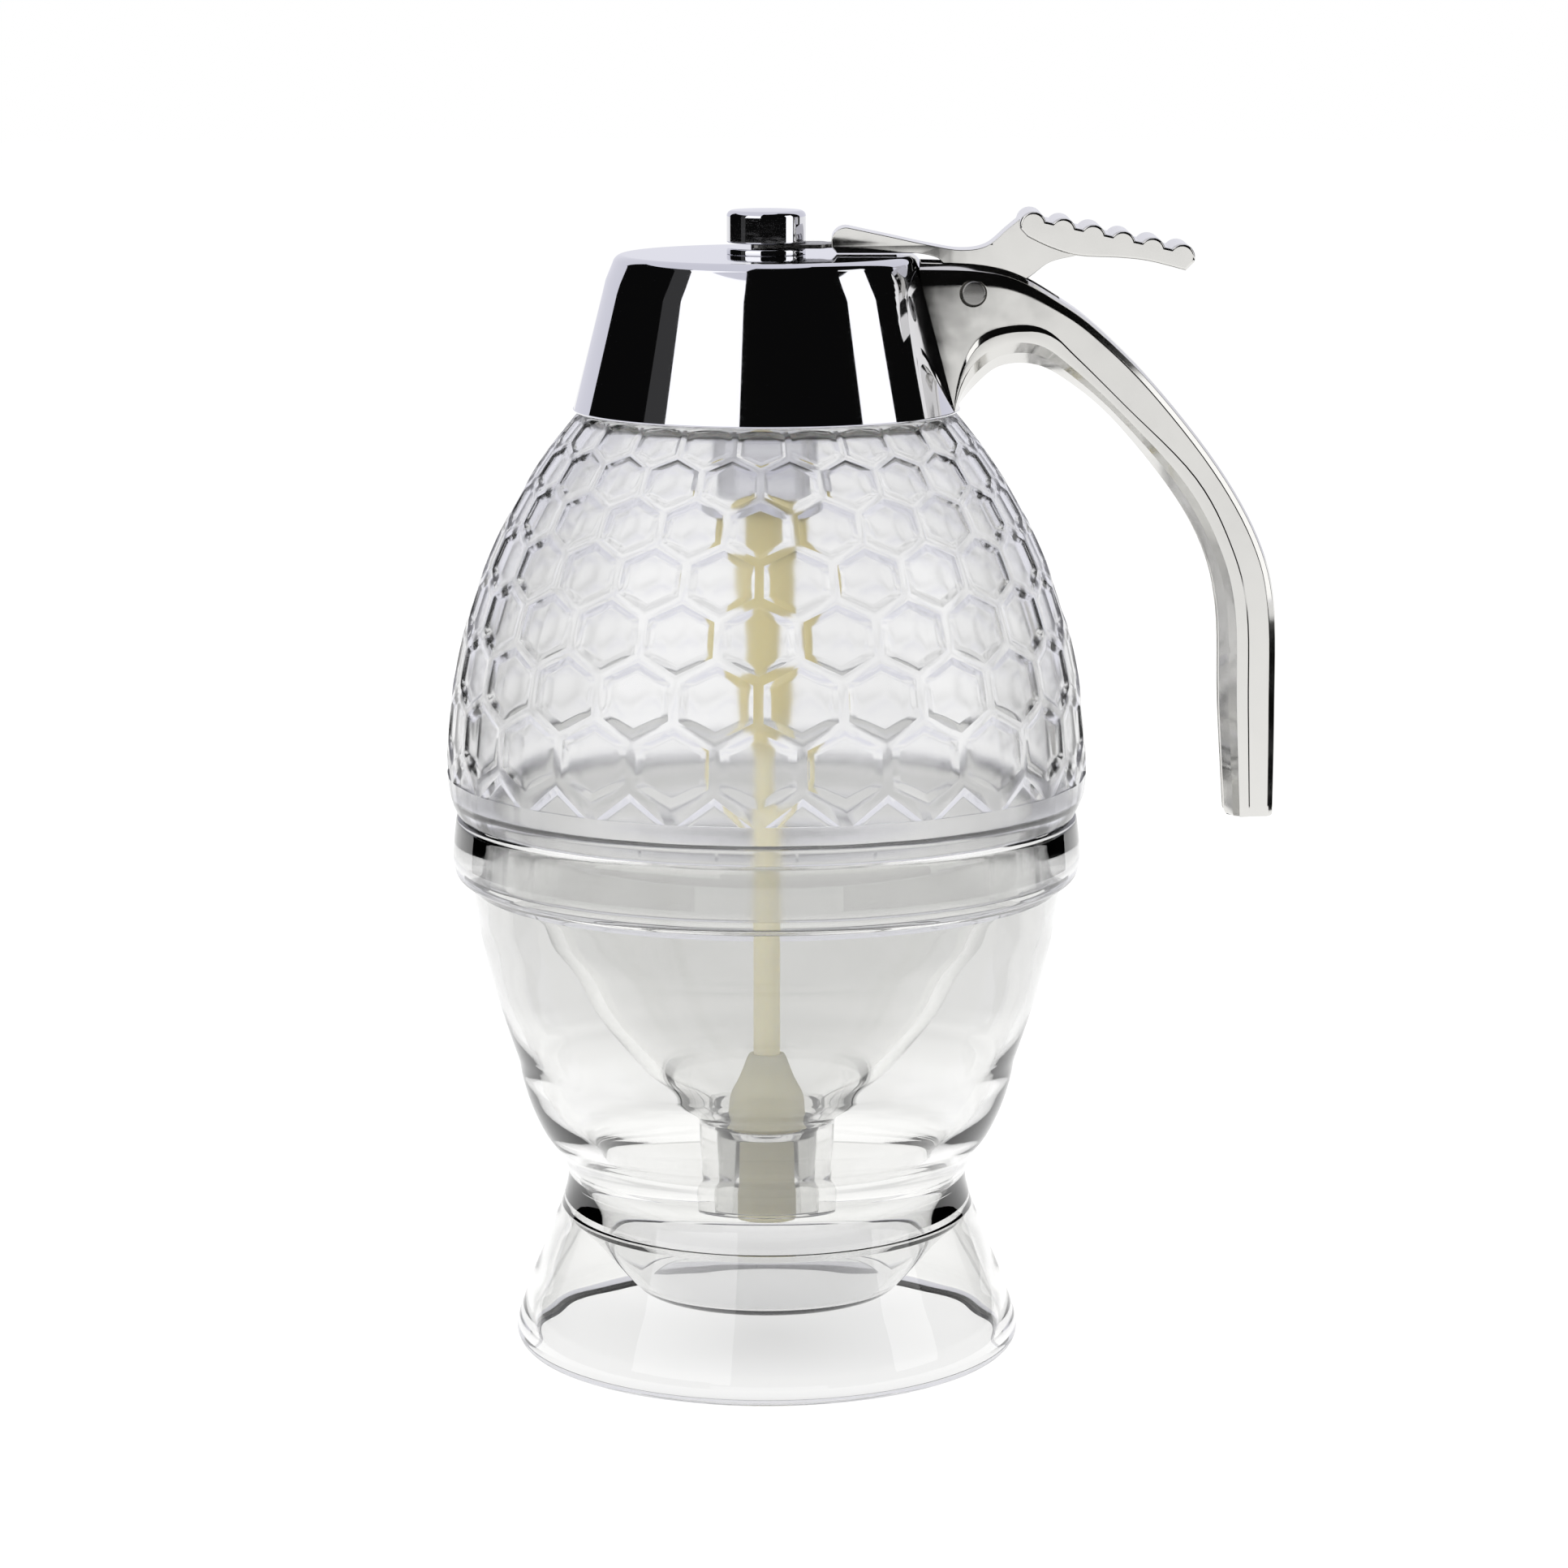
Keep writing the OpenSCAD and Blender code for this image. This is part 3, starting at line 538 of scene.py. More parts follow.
class MakeStand(bpy.types.Operator):
    """Foot, drip dish, waist, bowl and rim band, turned as one clear moulding"""
    bl_idname = "honey.make_stand"
    bl_label = "Stand"

    def execute(self, context):
        s = Sizes(context.scene.honey_stand)
        foot_edge = 2.5
        socket_r, ledge_z = s.band_r - 2.7, s.rim_z - 9.1
        flank = [(s.foot_r - 0.3, foot_edge + 1.6), (s.foot_r - 2.2, 9.6), (s.foot_r - 4.1, 14.3),
                 (s.foot_r - 5.9, 19), (s.waist_r + 0.75, s.waist_z - 4), (s.waist_r, s.waist_z),
                 (s.waist_r + 1.1, 30.4), (s.waist_r + 3.6, 33.8), (s.waist_r + 5.6, 38),
                 (s.waist_r + 6.8, 41.8), (s.waist_r + 7.35, 44.6)]
        bowl = [(s.waist_r + 7.5, 45.3), (s.band_r - 7.6, 51.6), (s.band_r - 5.8, 57.7),
                (s.band_r - 4.3, 63.9), (s.band_r - 3.4, 69),
                (s.band_r - 3.05, s.rim_z - s.band_h - 2)]
        band = [(s.band_r - 2.2, s.rim_z - s.band_h - 1.1), (s.band_r - 0.6, s.rim_z - s.band_h),
                (s.band_r - 0.05, s.rim_z - 7.3), (s.band_r - 0.1, s.rim_z - 5),
                (s.band_r - 0.4, s.rim_z - 2), (s.band_r - 0.7, s.rim_z - 0.6),
                (s.band_r - 1.6, s.rim_z)]
        inside = [(s.band_r - 5.25, ledge_z - 2.5), (s.band_r - 5.7, 67), (s.band_r - 6.7, 62),
                  (s.band_r - 8.1, 56), (s.band_r - 9.9, 50.3), (s.waist_r + 5.5, 45.6),
                  (s.waist_r + 4.6, 42), (s.waist_r + 3.2, 38.4), (s.waist_r + 1, 34.8),
                  (s.waist_r - 1.2, 31.8), (s.waist_r - 2.2, 28.4)]
        slope, floor_t = 1.13, 1.6
        top_r, in_r = s.waist_r - 2.2, s.dish_r - 0.4
        dish = [(top_r, s.dish_z + floor_t + (top_r - in_r) * slope, 0.4),
                (in_r, s.dish_z + floor_t, 1.8), (0, s.dish_z + floor_t)]
        under = [(0, s.dish_z), (s.dish_r, s.dish_z, 3.2),
                 (s.waist_r - 1.2, s.dish_z + (s.waist_r - 1.2 - s.dish_r) * slope, 0.3)]
        skirt = [(s.waist_r - 0.7, 21.1), (s.waist_r + 1.7, 15), (s.waist_r + 3.7, 10),
                 (s.foot_r - 2.6, 5), (s.foot_r - 2.1, 1), (s.foot_r - 2, 0)]
        socket = eased([(s.band_r - 1.6, s.rim_z), (socket_r, s.rim_z, 0.25),
                        (socket_r, ledge_z, 0.2), (s.band_r - 5.2, ledge_z, 0.3),
                        (s.band_r - 5.25, ledge_z - 2.5)])[1:-1]
        whole = (eased([inside[-1], *dish])[1:] + eased([*under, skirt[0]])[:-1] + smooth(skirt)
                 + arc((s.foot_r - foot_edge, foot_edge), foot_edge, -90, 8, 10)
                 + smooth(flank) + smooth(bowl) + smooth(band) + socket + smooth(inside))
        # The profile starts on the axis, under the dish, and ends there, over it
        start = next(i for i, q in enumerate(whole) if q[0] == 0 and q[1] == s.dish_z)
        profile = whole[start:] + whole[:start]
        piece("stand_moulding", turned(profile), "stand", material("acrylic"), "clear_acrylic",
              "stand")
        return {"FINISHED"}


# ---- Jar ----

HEX_SIDES = 18          # three edges to each side of a cell
HEX_R = 1 / math.sqrt(3)
ROW = 1.5 * HEX_R
# Rings of a cell: share of the pitch, share of the depth. A crisp shoulder, a slope, a soft foot.
CELL_RINGS = [(0.885, 0.0), (0.872, 0.06), (0.855, 0.2), (0.78, 0.66), (0.72, 0.94), (0.69, 1.0)]
FLOOR_EASE = 0.3        # millimetres of floor left inside a cell's last ring
FRONT_CELL = -91.2      # bearing of the front cell's middle, in degrees
ROW_CLIMB = 0.2         # row spacing along the dome, in radians of turn
FIRST_CLIMB = -0.035    # climb of the lowest row's middle, in the same radians


def cell_sheet(j):
    """Flat sheet of hexagons, one unit apart, with the rings of each cell inset: the bmesh, and
    how deep and how much lower each vertex lies. The lowest row's cells have steeper tops."""
    bm = bmesh.new()
    for row in range(j.rows):
        for i in range(j.cells):
            made = bmesh.ops.create_circle(bm, cap_ends=True, segments=HEX_SIDES, radius=HEX_R)
            middle = Vector((i + (0.5 if row % 2 == 0 else 0), row * ROW, 0))
            for v in made["verts"]:
                turn = math.degrees(math.atan2(v.co.x, v.co.y)) % 60
                v.co = middle + v.co * (0.5 / HEX_R) / math.cos(math.radians(turn - 30))
    bmesh.ops.remove_doubles(bm, verts=bm.verts, dist=1e-4)
    deep = {}
    share = 1
    for next_share, sink in CELL_RINGS:
        cells = [f for f in bm.faces if len(f.verts) == HEX_SIDES]
        bmesh.ops.inset_individual(bm, faces=cells, thickness=(share - next_share) / 2,
                                   use_even_offset=True)
        share = next_share
        for f in bm.faces:
            if len(f.verts) != HEX_SIDES:
                continue
            middle = f.calc_center_median()
            for v in f.verts:
                lean = 0.5 * HEX_R * abs(v.co.x - middle.x) if middle.y < 0.1 < v.co.y else 0
                deep[v] = (sink, lean)
    return bm, deep


def on_dome(j, bearing, climb, deep):
    """Point at a bearing and a climb along the dome, so many millimetres under its surface.
    Both are angles, so a cell keeps its shape at every height."""
    off = j.arc_r - j.dome_r
    k = off / j.arc_r
    grown_climb = math.tanh(climb * math.sqrt(1 - k * k) / 2)
    lift = 2 * math.atan(math.sqrt((1 - k) / (1 + k)) * grown_climb)
    rho = j.arc_r - deep * j.depth * math.cos(lift)
    r, z = rho * math.cos(lift) - off, j.mid_z + rho * math.sin(lift)
    return Vector((r * math.cos(bearing), r * math.sin(bearing), z)) * MM


def wrapped(j):
    """The cell sheet on the dome, closed round the back, its floors flat."""
    bm, deep = cell_sheet(j)
    floors = []
    for f in bm.faces:
        if len(f.verts) == HEX_SIDES:
            middle = f.calc_center_median()
            flat = [(v, (v.co - middle).length, math.atan2(v.co.x - middle.x, v.co.y - middle.y))
                    for v in f.verts]
            far = max(d for _, d, _ in flat)
            floors.append([(v, d > far - 1e-3, turn) for v, d, turn in flat])
    for v in bm.verts:
        sink, lean = deep.get(v, (0, 0))
        bearing = math.radians(FRONT_CELL + v.co.x * 360 / j.cells)
        v.co = on_dome(j, bearing, FIRST_CLIMB + (v.co.y - lean) / ROW * ROW_CLIMB, sink)
    for ring in floors:
        corners = [i for i, q in enumerate(ring) if q[1]]
        for a, b in zip(corners, corners[1:] + [corners[0] + len(ring)]):
            start, end = ring[a][0].co.copy(), ring[b % len(ring)][0].co.copy()
            for i in range(a + 1, b):
                share = 0.5 + math.tan(math.radians((i - a) * 180 / (b - a) / 3 - 30)) \
                    * 0.5 / math.tan(math.radians(30))
                ring[i % len(ring)][0].co = start.lerp(end, share)
    bmesh.ops.remove_doubles(bm, verts=bm.verts, dist=1e-5)
    cells = [f for f in bm.faces if len(f.verts) == HEX_SIDES]
    bmesh.ops.inset_individual(bm, faces=cells, thickness=FLOOR_EASE * MM, use_even_offset=True)
    return bm


def grown(bm, edges, r, z):
    """Extrudes a ring of edges to a radius and a height, each vertex at its own bearing."""
    made = bmesh.ops.extrude_edge_only(bm, edges=edges)["geom"]
    verts = {v for v in made if isinstance(v, bmesh.types.BMVert)}
    for v in verts:
        flat = Vector((v.co.x, v.co.y, 0)).normalized() * r * MM
        v.co = (flat.x, flat.y, z * MM)
    return [e for e in made if isinstance(e, bmesh.types.BMEdge) and set(e.verts) <= verts]


def rim_at(bm, z):
    return [e for e in bm.edges if e.is_boundary
            and all(abs(v.co.z - z * MM) < WELD for v in e.verts)]


def helix_ridge(radius, z0, pitch, turns, section, steps=96):
    """A thread: a small section swept up a helix."""
    bm = bmesh.new()
    verts = [bm.verts.new(((radius + r) * MM, 0, (z0 + z) * MM)) for r, z in section]
    return coiled(bm, [bm.faces.new(verts)], turns, steps, pitch * MM / steps)


class MakeDome(bpy.types.Operator):
    """Dome of the jar with its honeycomb, border, skirt and threaded neck"""
    bl_idname = "honey.make_dome"
    bl_label = "Jar dome"

    def execute(self, context):
        j = Sizes(context.scene.honey_jar)
        s = Sizes(context.scene.honey_stand)
        border_z = j.mid_z - 0.2
        skirt_r = s.band_r - 3.1
        collar_r = skirt_r - 2
        skirt_z = s.rim_z - 8.3

        def dome_at(z, d):
            return math.sqrt((j.arc_r - d) ** 2 - (z - j.mid_z) ** 2) - (j.arc_r - j.dome_r)

        bm = wrapped(j)
        for z, up in ((border_z, -1), (j.top_z, 1)):
            bmesh.ops.bisect_plane(bm, geom=[*bm.verts, *bm.edges, *bm.faces], dist=SAME,
                                   plane_co=(0, 0, z * MM), plane_no=(0, 0, up),
                                   clear_outer=True)
        rest_z = s.rim_z + 0.03  # a hair above the stand's rim
        border = smooth([
            (dome_at(border_z, 0), border_z), (dome_at(border_z - 1.6, 0.1), border_z - 1.6),
            (j.dome_r - 0.4, s.rim_z + 2.8), (j.dome_r - 1, s.rim_z + 1.2),
            (j.dome_r - 1.5, s.rim_z + 0.23), (j.dome_r - 1.9, rest_z)], 4)
        in_z0, in_z1, steps = s.rim_z + 3.2, j.top_z - 1.1, 40
        inner = [(dome_at(z, j.wall), z)
                 for z in (in_z0 + (in_z1 - in_z0) * i / steps for i in range(steps + 1))]
        skirt = eased([(j.dome_r - 1.9, rest_z), (skirt_r, rest_z, 0.3), (skirt_r, skirt_z, 0.5),
                       (collar_r + 0.1, skirt_z, 0.3), (collar_r + 0.1, s.rim_z + 2.7, 0.3),
                       (collar_r + 0.5, s.rim_z + 2.9, 0.2), inner[0]])[1:-1]
        neck_in = j.neck_r - 2
        neck = eased([inner[-1], (neck_in, in_z1 + 0.3, 0.6), (neck_in, j.neck_z, 0.5),
                      (j.neck_r, j.neck_z, 0.5), (j.neck_r, j.top_z, 0.6),
                      (j.neck_r + 1.2, j.top_z)])[1:]
        ring = rim_at(bm, border_z)
        for r, z in border + skirt + inner + neck:
            ring = grown(bm, ring, r, z)
        bmesh.ops.remove_doubles(bm, verts=bm.verts, dist=WELD)
        bmesh.ops.bridge_loops(bm, edges=[e for e in bm.edges if e.is_boundary])
        piece("jar_dome_moulding", bm, "jar", material("honeycomb"), "clear_honeycomb", "jar_dome",
              crease=50)

        thread = helix_ridge(j.neck_r - 0.15, j.top_z + 2.2, 3.2, 1.6,
                             [(0, 0), (1.0, 0.45), (1.0, 0.95), (0, 1.4)])
        piece("neck_thread", thread, "jar", material("acrylic"), "clear_acrylic")
        return {"FINISHED"}


class MakeFunnel(bpy.types.Operator):
    """Funnel bottom of the jar with its nozzle, and the seat sleeve in the nozzle"""
    bl_idname = "honey.make_funnel"
    bl_label = "Funnel"

    def execute(self, context):
        j = Sizes(context.scene.honey_jar)
        s = Sizes(context.scene.honey_stand)
        w = 2.0  # the funnel's wall
        top_r, top_z = s.band_r - 5.1, s.rim_z + 2.5
        seat_r, seat_top = j.nozzle_r - 2.5, 33.9
        outside = [(top_r - 0.3, s.rim_z - 1.1), (40.2, 78), (35.2, 68.6), (30.6, 60.3),
                   (25, 51.3), (19.4, 43.6), (j.nozzle_r + 2.6, 36.9), (j.nozzle_r + 0.2, 34.7)]
        inside = [(seat_r + 2.4, 37.5), (19.4 - 1.35 * w, 43.6), (25 - 1.2 * w, 51.3),
                  (30.6 - 1.15 * w, 60.3), (35.2 - 1.1 * w, 68.6), (40.2 - 1.1 * w, 78),
                  (top_r - 0.3 - w, s.rim_z - 1.1)]
        tip = eased([outside[-1], (j.nozzle_r, 33.8, 0.3), (j.nozzle_r, j.nozzle_z, 0.6),
                     (seat_r - 1.5, j.nozzle_z, 0.4), (seat_r - 1.5, j.nozzle_z + 1.2, 0.15),
                     (seat_r, j.nozzle_z + 1.2, 0.1), (seat_r, seat_top + 1.4, 0.3),
                     inside[0]])[1:-1]
        collar = eased([inside[-1], (top_r - w, top_z, 0.5), (top_r, top_z, 0.4),
                        (top_r, s.rim_z - 0.5, 0.3), outside[0]])[1:-1]
        piece("jar_funnel_moulding", turned(smooth(outside) + tip + smooth(inside) + collar),
              "jar", material("acrylic"), "clear_acrylic", "jar_funnel")

        bore = 5.1
        seat = eased([(bore, j.nozzle_z + 1.25, 0.3), (seat_r - 0.05, j.nozzle_z + 1.25, 0.2),
                      (seat_r - 0.05, seat_top, 0.3), (seat_r - 0.6, seat_top, 0.3),
                      (bore, 31.6, 0.8)])
        piece("outlet_seat_sleeve", turned(seat, 128), "jar", material("acrylic"), "clear_acrylic",
              "outlet_seat")
        return {"FINISHED"}


# ---- Lid ----

CAP_TAPER = 0.256  # radius that the cap loses for each millimetre of height
BOSS_H = 0.95      # height of the bush's boss over the cap
FORK_GAP = 0.1     # gap under the fork, and over it
FORK_T = 0.6       # thickness of the fork's sheet


def cap_at(lid, z):
    return lid.cap_r - CAP_TAPER * (z - lid.cap_z)


class MakeCap(bpy.types.Operator):
    """Chrome cap with its screw liner, gasket and the guide bush in its top"""
    bl_idname = "honey.make_cap"
    bl_label = "Cap"

    def execute(self, context):
        c = Sizes(context.scene.honey_lid)
        j = Sizes(context.scene.honey_jar)
        w = c.cap_wall
        roof_z = c.cap_top_z - w
        cone = math.degrees(math.atan(CAP_TAPER))
        edge_r = 1.6
        edge = arc((cap_at(c, c.cap_top_z) - edge_r - 0.05, c.cap_top_z - edge_r), edge_r, cone, 90,
                   12)
        bush_r = 4
        side = [(cap_at(c, z), z) for z in (c.cap_z + 0.45 + i * (c.cap_top_z - c.cap_z - 2.4) / 12
                                            for i in range(12))]
        shell = [(bush_r, roof_z), (cap_at(c, roof_z) - w - 0.6, roof_z),
                 (cap_at(c, roof_z - 0.6) - w, roof_z - 0.6), (c.cap_r - w, c.cap_z + 0.1),
                 *arc((c.cap_r - 0.45, c.cap_z + 0.45), 0.45, -160, -8, 6), *side, *edge,
                 (bush_r + 2.5, c.cap_top_z), (bush_r, c.cap_top_z)]
        piece("cap_shell_chrome", turned(shell, 256), "lid", material("chrome"), "mirror_chrome",
              "cap_shell", flats=True)

        bore = j.neck_r + 1.2
        foot_z, top_in = c.cap_z + 0.5, j.neck_z + 1.6
        barrel_r = 8
        groove = [(bore, top_in - 1.6)]
        for k in range(3):  # thread grooves, 2.6 mm apart
            z = top_in - 2.4 - 2.6 * k
            groove += [(bore, z), (bore + 0.5, z - 0.4), (bore + 0.5, z - 0.9), (bore, z - 1.3)]
        liner = [(barrel_r + 1, top_in), (bore - 0.4, top_in), *groove, (bore, foot_z + 0.4),
                 (bore + 0.4, foot_z), (cap_at(c, foot_z) - w - 0.35, foot_z),
                 (cap_at(c, top_in + 1.5) - w - 0.05, top_in + 1.5),
                 (barrel_r + 1, top_in + 1.5)]
        piece("cap_liner_moulding", turned(liner, 160), "lid", material("liner"), "liner_plastic",
              "cap_liner", crease=25)

        ring = eased([(j.neck_r - 2, j.neck_z, 0.3), (j.neck_r + 0.9, j.neck_z, 0.4),
                      (j.neck_r + 0.9, j.neck_z + 1.5, 0.4), (j.neck_r - 2, j.neck_z + 1.5, 0.3)])
        piece("lid_gasket_ring", turned(ring, 128), "lid_seal", material("seal"), "seal",
              "lid_gasket")

        stud_r = 2.06
        head = c.cap_top_z + BOSS_H
        bush = eased([(stud_r, head - 4), (bush_r - 0.02, head - 4, 0.1),
                      (bush_r - 0.02, c.cap_top_z, 0), (c.knob_r, c.cap_top_z, 0.12),
                      (c.knob_r, head, 0.3), (stud_r, head, 0.15)])
        piece("guide_bush_chrome", turned(bush, 128), "lid", material("chrome"), "mirror_chrome",
              "guide_bush", flats=True)
        return {"FINISHED"}


class MakeBarrel(bpy.types.Operator):
    """Spring barrel under the cap, with the return spring and its washer inside"""
    bl_idname = "honey.make_barrel"
    bl_label = "Barrel and spring"

    def execute(self, context):
        c = Sizes(context.scene.honey_lid)
        g = Sizes(context.scene.honey_plunger)
        roof = c.cap_top_z - c.cap_wall
        top_z, out_r, mouth = roof - 2.4, 8, 131
        body = eased([(4, roof, 0.2), (out_r, roof, 0.3), (out_r, mouth, 0.6),
                      (g.sleeve_r + 0.4, mouth, 0.2), (g.sleeve_r + 0.4, mouth + 1.2, 0.3),
                      (out_r - 1.1, mouth + 1.2, 0.3), (out_r - 1.1, top_z, 0.3), (4, top_z, 0.2)])
        piece("spring_barrel_tube", turned(body, 96), "lid", material("chrome"), "mirror_chrome",
              "spring_barrel", flats=True)

        low, high, turns, sides, steps = 140.6, top_z, 7.5, 16, 40
        half = g.wire / 2
        wire = bmesh.new()
        circle = bmesh.ops.create_circle(wire, cap_ends=False, segments=sides, radius=half * MM,
                                         matrix=place_at(g.coil_r, low + half, 1))
        rise = (high - low - 2 * half) / (turns * steps)
        coiled(wire, [*circle["verts"], *wire.edges], turns, steps, rise * MM)
        spring = piece("return_spring_coil", wire, "lid", material("wire"), "spring_steel",
                       "return_spring")
        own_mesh(spring)
        for node in ("spring_washer", "plunger_stud"):
            dressed(node, material("steel"))
        return {"FINISHED"}


# ---- Plunger ----

class MakePlunger(bpy.types.Operator):
    """Knob, nylon plunger and silicone stopper"""
    bl_idname = "honey.make_plunger"
    bl_label = "Plunger"

    def execute(self, context):
        g = Sizes(context.scene.honey_plunger)
        c = Sizes(context.scene.honey_lid)
        knob_z = c.cap_top_z + BOSS_H + FORK_GAP + FORK_T + FORK_GAP
        top, socket_z = knob_z + c.knob_h, knob_z + 3.5
        stud = g.stud_r + 0.03
        under = eased([(stud, socket_z), (stud, knob_z, 0.1), (c.knob_r, knob_z, 0.25),
                       (c.knob_r, top, 0)])[1:-1]
        edge_r = 0.9
        knob = [(0, socket_z), (stud, socket_z), *under,
                *arc((c.knob_r - edge_r, top - edge_r), edge_r, 0, 88, 12),
                (c.knob_r - 2.6, top + 0.08), (0, top + 0.15)]
        piece("knob_chrome", turned(knob, 160), "plunger", material("chrome"), "mirror_chrome",
              "knob", flats=True)

        washer_z, thick_z, foot_z = 139.6, 97, 37
        side = smooth([(g.sleeve_r - 0.1, 131), (3.95, 113), (3.6, 102), (3.2, thick_z)])
        waist = smooth([(3.1, thick_z - 1.2), (g.rod_r + 0.35, thick_z - 3.2),
                        (g.rod_r + 0.08, thick_z - 4.6), (g.rod_r, thick_z - 6)], 4)
        rod = [*eased([(0, washer_z), (g.sleeve_r, washer_z, 0.4), (g.sleeve_r, 133, 1)]), *side,
               *waist, (g.rod_r, 70), (g.rod_r, 50), (g.rod_r, foot_z), (0, foot_z)]
        bore = [(0, washer_z - 6.2), (stud, washer_z - 6.2), (stud, washer_z)]
        piece("plunger_rod_nylon", turned(bore + rod[1:], 96), "plunger", material("nylon"),
              "cream_plastic", "plunger_rod")

        nose, tip, hole_z, mouth_z = 4.4, 17.5, 36.8, 46
        hole = g.rod_r + 0.03
        bell = smooth([(g.stopper_r - 3.1, 45), (g.stopper_r - 2.3, 42.6), (g.stopper_r - 1, 39.4),
                       (g.stopper_r - 0.2, 36.6), (g.stopper_r, 35.2)])
        mouth = eased([(hole, hole_z), (hole, mouth_z, 0.15), (g.stopper_r - 3.5, mouth_z, 0.4),
                       bell[0]])[1:-1]
        end = eased([bell[-1], (g.stopper_r - 0.1, 34.3, 0.5), (nose, 32, 0.6),
                     (nose, tip + 1, 0.8), (nose - 1.2, tip, 0.6), (0, tip)])[1:]
        stopper = [(0, hole_z), (hole, hole_z), *mouth, *bell, *end]
        piece("stopper_silicone", turned(stopper, 96), "plunger", material("silicone"),
              "soft_stopper", "stopper")
        return {"FINISHED"}


# ---- Handle and lever ----

PIN_X, PIN_Z = 30.9, 162.9
HANDLE_OUT = [(22.4, 167.3), (31.1, 166.9), (37.2, 165.5), (43.4, 162.1), (49.5, 157.7),
              (58.2, 149.1), (68, 136.8), (74.3, 125.7), (76.9, 115.5), (77.28, 100), (77.2, 83.4)]
HANDLE_IN = [(28.2, 144.9), (31.3, 148.5), (34.9, 151.4), (39.8, 151.8), (44.5, 149.8),
             (51.8, 143.9), (60.6, 133.2), (65.9, 124), (68.2, 114.5), (68.7, 100), (69.8, 83.2)]
FLAT_SIDE = 0.965        # share of the half width at which the handle's side is flat
SECTION_CREASE = 0.6     # where the section has its crease, and where the bead under it
BEAD_END = 0.7           # ends: shares of the depth
# Section from the outer edge to the inner one: share of the depth, share of the half width, how
# far the corner is eased. CREASE says at what share of the depth the crease lies at each point.
HANDLE_SECTION = [(0, 0.34, 0), (0.004, 0.62, 0.09), (0.04, 0.86, 0.05),
                  (0.135, FLAT_SIDE, 0.04), (0.17, FLAT_SIDE, 0), (0.575, FLAT_SIDE, 0),
                  (SECTION_CREASE, FLAT_SIDE, 0.01), (0.66, 1, 0.02), (BEAD_END, 1, 0),
                  (0.73, 1, 0), (0.765, 0.995, 0.01), (0.87, 0.81, 0.02), (1, 0.3, 0.05)]
CREASE = [0.97, 0.61, 0.535, 0.455, 0.575, 0.64, 0.46, 0.5, 0.49, 0.49, 0.5]
TAPER_END = 0.6          # share of the handle's length after which its width stays
FADE_FROM, FADE_OVER, FADE = 0.25, 0.1, 0.7  # after the bend the bead fades by this share
OUTSIDE = 12             # half length of a cutting pin that is longer than the width


def sideways(profile, x, z, steps=SMALL):
    """Turned piece laid along Y through (x, z)."""
    return placed(turned(profile, steps), x, z, 1)


